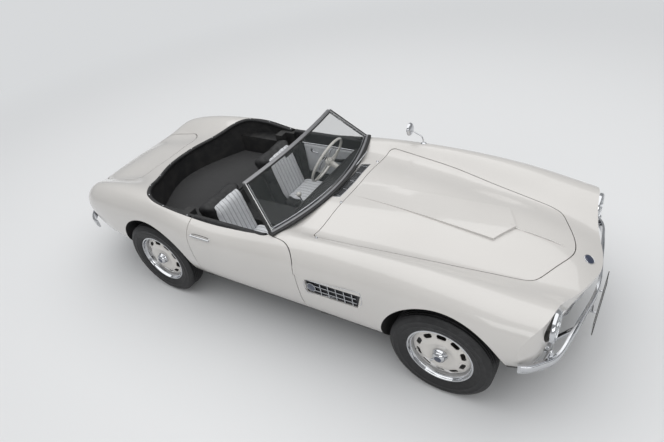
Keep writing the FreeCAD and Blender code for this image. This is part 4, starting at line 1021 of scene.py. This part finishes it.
on_both_sides("card_insert", card_insert(), "seat_leather", "door_{}")
strip = tube("card_strip", [spot(-516, CARD - 5, 758), spot(-212, CARD - 6, 762), spot(92, CARD - 5, 758)],
             section=(12, 6, 2.5))
on_both_sides("card_strip", strip, "chrome", "door_{}")
pull = [spot(-330, CARD - 6, 640), spot(-318, CARD - 34, 646), spot(-210, CARD - 40, 650),
        spot(-100, CARD - 34, 646), spot(-88, CARD - 6, 640)]
pull = tube("arm_pull", pull, section=(20, 30, 8), steps=8)
on_both_sides("arm_pull", pull, "black_leather", "door_{}")
INWARD = (0, -1, 0)
winder = merged("winder", [
    turned("rose", [(0, 13), (12, 12.5), (24, 9), (30, 3), (31, 0), (0, 0)],
           centre=spot(-20, CARD - 6, 600), axis=INWARD, steps=32),
    tube("crank", [spot(-20, CARD - 17, 600), spot(-44, CARD - 24, 578), spot(-84, CARD - 26, 552)],
         section=(13, 6, 2.5), steps=6),
    turned("crank_knob", [(0, 24), (7, 23), (10, 18), (9, 8), (6, 0), (0, 0)],
           centre=spot(-82, CARD - 27, 553), axis=INWARD, steps=24),
    turned("catch_rose", [(0, 12), (10, 11.5), (20, 8), (26, 0), (0, 0)],
           centre=spot(-420, CARD - 6, 690), axis=INWARD, steps=28),
    tube("catch", [spot(-420, CARD - 16, 690), spot(-390, CARD - 22, 688), spot(-350, CARD - 20, 684)],
         section=(14, 6, 2.5), steps=6)])
on_both_sides("winder", winder, "chrome", "door_{}")


# Nose: a bright surround round each of its two openings.
def nose_point(y, z):
    """Where a ray from ahead meets the nose."""
    return against(Vector((2.6, y / 1000, z / 1000)), Vector((-1, 0, 0)))[0]


def opening_outline(sign):
    """The nose opening's outline, with wide corner arcs, as (y, z) in millimetres."""
    inner, outer, low, high = 46, 434, 461, 616
    round_in, round_out = 38, 66
    corners = [(inner + round_in, low + round_in, round_in, 180, 270),
               (outer - round_out, low + round_out, round_out, 270, 360),
               (outer - round_out, high - round_out, round_out, 0, 90),
               (inner + round_in, high - round_in, round_in, 90, 180)]
    outline = []
    for y, z, radius, start, end in corners:
        for k in range(5):
            angle = math.radians(start + (end - start) * k / 4)
            outline.append(((y + radius * math.cos(angle)) * sign, z + radius * math.sin(angle)))
    return outline


for side, sign in SIDES:
    around = [nose_point(y, z) + offset(1.5) for y, z in opening_outline(sign)]
    fit_piece(tube(f"opening_surround_{side}", around, 5.2, closed=True, steps=3), "chrome",
              angle=50)


# Lamps, plain discs, mirror, handles and the small bright trim.
def both(name, pattern):
    """A piece and its mirror as one."""
    return merged(name, [pattern, copy_of(pattern, name, MIRROR)])


AHEADWARD, REARWARD = (1, 0, 0), (-1, 0, 0)
lamp = dict(centre=spot(1973, 581, 672), axis=AHEADWARD, start=(0, 0, 1))
bezel = turned("headlamp_bezels", [(86.5, 0), (97, 0), (97.2, 10), (95.5, 17.5), (91.5, 22.5), (87.2, 21.5),
                                   (85, 16.5), (85, 6)], steps=72, **lamp)
fit_piece(both("headlamp_bezels", bezel), "chrome", "body", ["headlamps"])
bowl = turned("headlamp_bowls", [(0, -50), (30, -47), (60, -32), (80, -8), (86, 11), (84.5, 12), (78, -4),
                                 (58, -27), (28, -41), (0, -44)], steps=64, **lamp)
fit_piece(both("headlamp_bowls", bowl), "mirror_glass")
bulb = turned("headlamp_bulbs", [(0, 0), (9, -2), (13, -8), (13.5, -20), (9, -26), (9, -43), (0, -43)],
              steps=28, **lamp)
fit_piece(both("headlamp_bulbs", bulb), "chrome")
dome = turned("headlamp_glass", [(0, 30), (30, 28.5), (60, 23.5), (78, 16.5), (85.6, 11), (84, 9), (76, 13.5),
                                 (58, 20.5), (28, 25.8), (0, 27.2)], steps=72, **lamp)
fit_piece(both("headlamp_glass", dome), "lamp_dome", "body", ["headlamp_lenses"])

for name, centre, axis, radius, glass, slot in (
        ("indicator", spot(1972, 595, 497), AHEADWARD, 34, "lamp_clear", "glass"),
        ("tail_lamp", spot(-2184, 450, 590), REARWARD, 38, "lamp_red", "lamp_red")):
    place = dict(centre=centre, axis=axis, start=(0, 0, 1))
    rim = turned(name + "_rims", [(radius - 3, -6), (radius + 3, -6), (radius + 4.5, 0), (radius + 2.5, 4),
                                  (radius - 1, 4.5), (radius - 3, 1.5)], steps=48, **place)
    fit_piece(both(name + "_rims", rim), "chrome", "body")
    lens = turned(name + "_glass", [(0, 13), (radius * 0.3, 12.5), (radius * 0.62, 10), (radius * 0.86, 5.8),
                                    (radius - 2, 0.5), (radius - 2, -4), (0, -4)], steps=48, **place)
    fit_piece(both(name + "_glass", lens), glass, "body")

# Plain discs on the nose and in the side vents: a bright rim round dark enamel, without any mark.
DISC_RIM = [(30, -3), (34.5, -3), (35.2, 0.5), (34, 4), (31.8, 5.2), (30, 4.2)]
DISC_FACE = [(0, 6.4), (12, 6.1), (22.5, 5), (30.4, 3.2), (30.4, -3), (0, -3)]
rim, face = turned("disc_rim", DISC_RIM, steps=48), turned("disc_face", DISC_FACE, steps=48)
nose_place, nose_normal = over(2033, 0)
vent_place = against(spot(505, 1200, 634), INWARD)[0]
vent_seat = Matrix.Translation(vent_place + offset(0, 14, 0)) @ spun(-90, "X")
for name, seat in (("nose_disc", aligned(nose_place, nose_normal)), ("left_vent_disc", vent_seat),
                   ("right_vent_disc", MIRROR @ vent_seat)):
    fit_piece(copy_of(rim, name + "_rim", seat), "chrome")
    fit_piece(copy_of(face, name, seat), "enamel")
for pattern in (rim, face):
    bpy.data.objects.remove(pattern)


# Bright line round each side vent, and a black line of painted shade round each sunk door handle.
def on_flank(x, z, names=SKIN_NODES):
    return against(spot(x, 1200, z), INWARD, names)[0]


VENT_RIM = [(462, 586), (466, 578), (478, 575), (850, 609), (872, 614), (883, 626), (884, 700), (880, 714),
            (862, 719), (480, 692), (466, 687), (461, 674)]
vent_line = tube("side_vent_surrounds", [on_flank(673 + (x - 673) * 1.012, 645 + (z - 645) * 1.06)
                                         + offset(0, 0.8, 0) for x, z in VENT_RIM], 2.4, closed=True, steps=3)
fit_piece(both("side_vent_surrounds", vent_line), "chrome", "body", angle=50)
handle_line = []
for k in range(24):
    angle = 2 * math.pi * k / 24
    along, up = math.cos(angle), math.sin(angle)
    x = -474 + 78 * math.copysign(abs(along) ** 0.5, along) + 9 * along
    handle_line.append(on_flank(x, 763 + 11 * math.copysign(abs(up) ** 0.6, up), ("door_left",)))
# Painted shade: a thin black line laid round the edge of the handle's recess.
outline = tube("handle_line", handle_line, 2.2, closed=True, steps=2, rings=2)
on_both_sides("handle_recess_shade", outline, "gasket", "door_{}", angle=60)

# Wing mirror: a foot, a slim stem and a round head with its glass towards the driver.
stand, up = over(660, 690)
foot = turned("mirror_foot", [(0, 12), (8, 11.5), (12, 8), (20, 5), (24, 0), (0, 0)], steps=32)
foot.data.transform(aligned(stand, up))
head = Vector((spot(550, 690, 0).x, stand.y, stand.z + 0.11))
stem = tube("mirror_stem", [stand, stand + offset(-12, 0, 55), head + offset(40, 0, -20),
                            head + offset(16, 0, -2)], 5.2, steps=8)
shell = turned("mirror_shell", [(0, -24), (20, -22.5), (38, -16.5), (49, -7), (52, 2), (50.8, 6), (47.5, 6.6),
                                (46.8, 3), (0, 3)], centre=head, axis=REARWARD, start=(0, 0, 1), steps=48)
fit_piece(merged("mirror_shell", [shell, stem, foot]), "chrome", "body", ["wing_mirror"], 45)
pane = turned("mirror_pane", [(0, 4), (46.6, 4), (46.6, 2.6), (0, 2.6)], centre=head, axis=REARWARD,
              start=(0, 0, 1), steps=48)
fit_piece(pane, "mirror_glass")

# Cowl vent: slats and bars over its floor, which the paint darkens as painted shade, and a bright line round
# it.
VENT_PLAN = [(299, -151), (299, 321), (367, 338), (373, 90), (367, -131)]
slats = []
for x in (312, 324, 336, 348, 360):
    first, last = -146 + (x - 300) * 0.3, 317 + (x - 300) * 0.24
    ways = [first + (last - first) * k / 8 for k in range(9)]
    slats.append(tube("slat", [over(x, y)[0] + offset(up=8.5) for y in ways], section=(3.5, 6, 1), steps=2))
ways = (304, 320, 336, 352, 364)
for y in (-112, -20, 90, 200, 300):
    slats.append(tube("cross_bar", [over(x, y)[0] + offset(up=8) for x in ways], section=(5, 6, 1), steps=2))
fit_piece(merged("cowl_slats", slats), "vent_metal", "body", angle=40)
vent_round = []
for k, (x, y) in enumerate(VENT_PLAN):
    next_x, next_y = VENT_PLAN[(k + 1) % len(VENT_PLAN)]
    for step in range(5):
        at_x, at_y = x + (next_x - x) * step / 5, y + (next_y - y) * step / 5
        vent_round.append(over(at_x, at_y)[0] + offset(up=0.6))
fit_piece(tube("cowl_vent_line", vent_round, 1.8, closed=True, straight=True), "chrome", "body",
          angle=60)

# Washer nozzles and the aerial's cap.
nozzle_pattern = turned("nozzle", [(0, 13), (3.5, 12.5), (6, 9), (6.5, 4.5), (10, 3), (11.5, -2), (0, -2)],
                        steps=24)
NOZZLES = [(410, -190), (395, 395), (470, -610)]
nozzles = scattered("washer_nozzles", nozzle_pattern, [aligned(*over(x, y)) for x, y in NOZZLES])
fit_piece(nozzles, "chrome", angle=50)

# The bonnet's centre crease, from the point of its raised panel towards the nose.
RIDGE = [(1560, 0), (1600, 2.2), (1680, 3), (1760, 3), (1840, 2.4), (1885, 0)]
ridge = [over(x, 0, ("bonnet", "front_body"))[0] + offset(up=lift) for x, lift in RIDGE]
crease = tube("bonnet_crease", ridge, section=(12, 8, 3), steps=6)
fit_piece(crease, "paint", "bonnet", angle=60)

# Blank plates with a raised edge, and the exhaust's rolled end.
PLATE_HALF = 240
for name, x, low, high, proud in (("front_plate", 2137, 310, 420, 0.6),
                                  ("rear_plate", -2243, 452, 562, -0.6)):
    edge = [spot(x, y * PLATE_HALF, z) + offset(proud)
            for y, z in ((-1, low), (1, low), (1, high), (-1, high))]
    fit_piece(tube(name + "_edge", edge, 2.2, closed=True, straight=True), "black_metal")
tip = turned("exhaust_end", [(20, -30), (25, -30), (26.8, -4), (26.2, 0), (22.5, 0), (21.5, -4)],
             centre=spot(-2196, 250, 198), axis=REARWARD, start=(0, 0, 1), steps=40)
fit_piece(tip, "chrome")

# Crowned faces of the two bumpers.
FRONT_BLADE = [(1862, 786), (1903, 769), (1962, 713), (2011, 655), (2054, 481), (2082, 292), (2114, 0)]
REAR_BLADE = [(-1922, 745), (-2012, 713), (-2122, 601), (-2205, 391), (-2232, 171), (-2236, 0)]
for name, blade in (("front", FRONT_BLADE), ("rear", REAR_BLADE)):
    path = [spot(x, y, 475) for x, y in blade] + [spot(x, -y, 475) for x, y in reversed(blade[:-1])]
    fit_piece(tube(f"{name}_bumper_crown", path, section=(9, 50, 4.2), steps=10), "chrome", "body",
              angle=60)

# Stage, light and camera.
bpy.ops.object.select_all(action="DESELECT")
bpy.ops.mesh.primitive_plane_add(size=240, location=(0, 0, 0))
floor = bpy.context.object
floor.name = "studio_floor"
BACKDROP, BACKDROP_LEVEL = (0.8, 0.815, 0.83, 1), 0.85
stone = Finish("pale_floor", base_color=(0.76, 0.765, 0.77), roughness=0.85)
floor_x, floor_y = stone.axes()[:2]
away = floor_x * floor_x + floor_y * floor_y
seen = stone.add("ShaderNodeLightPath", None, {}, "Is Camera Ray").larger(
    stone.add("ShaderNodeLightPath", None, {}, "Is Transmission Ray"))
glow = stone.tree.nodes.new("ShaderNodeEmission")
glow.inputs["Color"].default_value = BACKDROP
glow.inputs["Strength"].default_value = BACKDROP_LEVEL
fade = stone.tree.nodes.new("ShaderNodeMixShader")
stone.join(fade.inputs[0], away.between(14.0, 70.0) * seen)
stone.tree.links.new(stone.shader.outputs["BSDF"], fade.inputs[1])
stone.tree.links.new(glow.outputs["Emission"], fade.inputs[2])
stone.tree.links.new(fade.outputs["Shader"], stone.tree.nodes["Material Output"].inputs["Surface"])
floor.data.materials.append(stone.material)

world = bpy.data.worlds.new("studio")
bpy.context.scene.world = world
world.use_nodes = True
backdrop = world.node_tree.nodes["Background"]
backdrop.inputs["Color"].default_value = BACKDROP
links = world.node_tree.links
rays = world.node_tree.nodes.new("ShaderNodeLightPath")
seen = world.node_tree.nodes.new("ShaderNodeMath")
seen.operation = "MAXIMUM"
links.new(rays.outputs["Is Camera Ray"], seen.inputs[0])
links.new(rays.outputs["Is Transmission Ray"], seen.inputs[1])
level = world.node_tree.nodes.new("ShaderNodeMapRange")
level.inputs["To Min"].default_value = 0.46
level.inputs["To Max"].default_value = BACKDROP_LEVEL
links.new(seen.outputs[0], level.inputs["Value"])
links.new(level.outputs["Result"], backdrop.inputs["Strength"])


def softbox(name, place, target, width, height, power):
    lamp = bpy.data.lights.new(name, "AREA")
    lamp.shape = "RECTANGLE"
    lamp.size, lamp.size_y, lamp.energy = width, height, power
    holder = bpy.data.objects.new(name, lamp)
    bpy.context.scene.collection.objects.link(holder)
    holder.location = place
    holder.rotation_euler = (Vector(target) - Vector(place)).to_track_quat("-Z", "Y").to_euler()


softbox("overhead", (-0.5, 1.0, 7.0), (-0.5, 1.0, 0), 15.0, 12.0, 690)
softbox("near_fill", (5.0, -7.0, 3.4), (0.3, 0, 0.4), 7.0, 3.0, 130)

view_right = Vector((0.842868, 0.514423, -0.157929))
view_up = Vector((-0.205172, 0.578527, 0.789437))
view_back = Vector((0.497471, -0.632989, 0.593168))
lens_camera = bpy.data.cameras.new("camera")
lens_camera.sensor_width = 36
lens_camera.lens = 29.467
camera = bpy.data.objects.new("camera", lens_camera)
bpy.context.scene.collection.objects.link(camera)
turn = Matrix((view_right, view_up, view_back)).transposed()
camera.matrix_world = Matrix.Translation((2.36295, -2.75294, 3.07738)) @ turn.to_4x4()
bpy.context.scene.camera = camera
bpy.context.scene.view_settings.view_transform = "Standard"
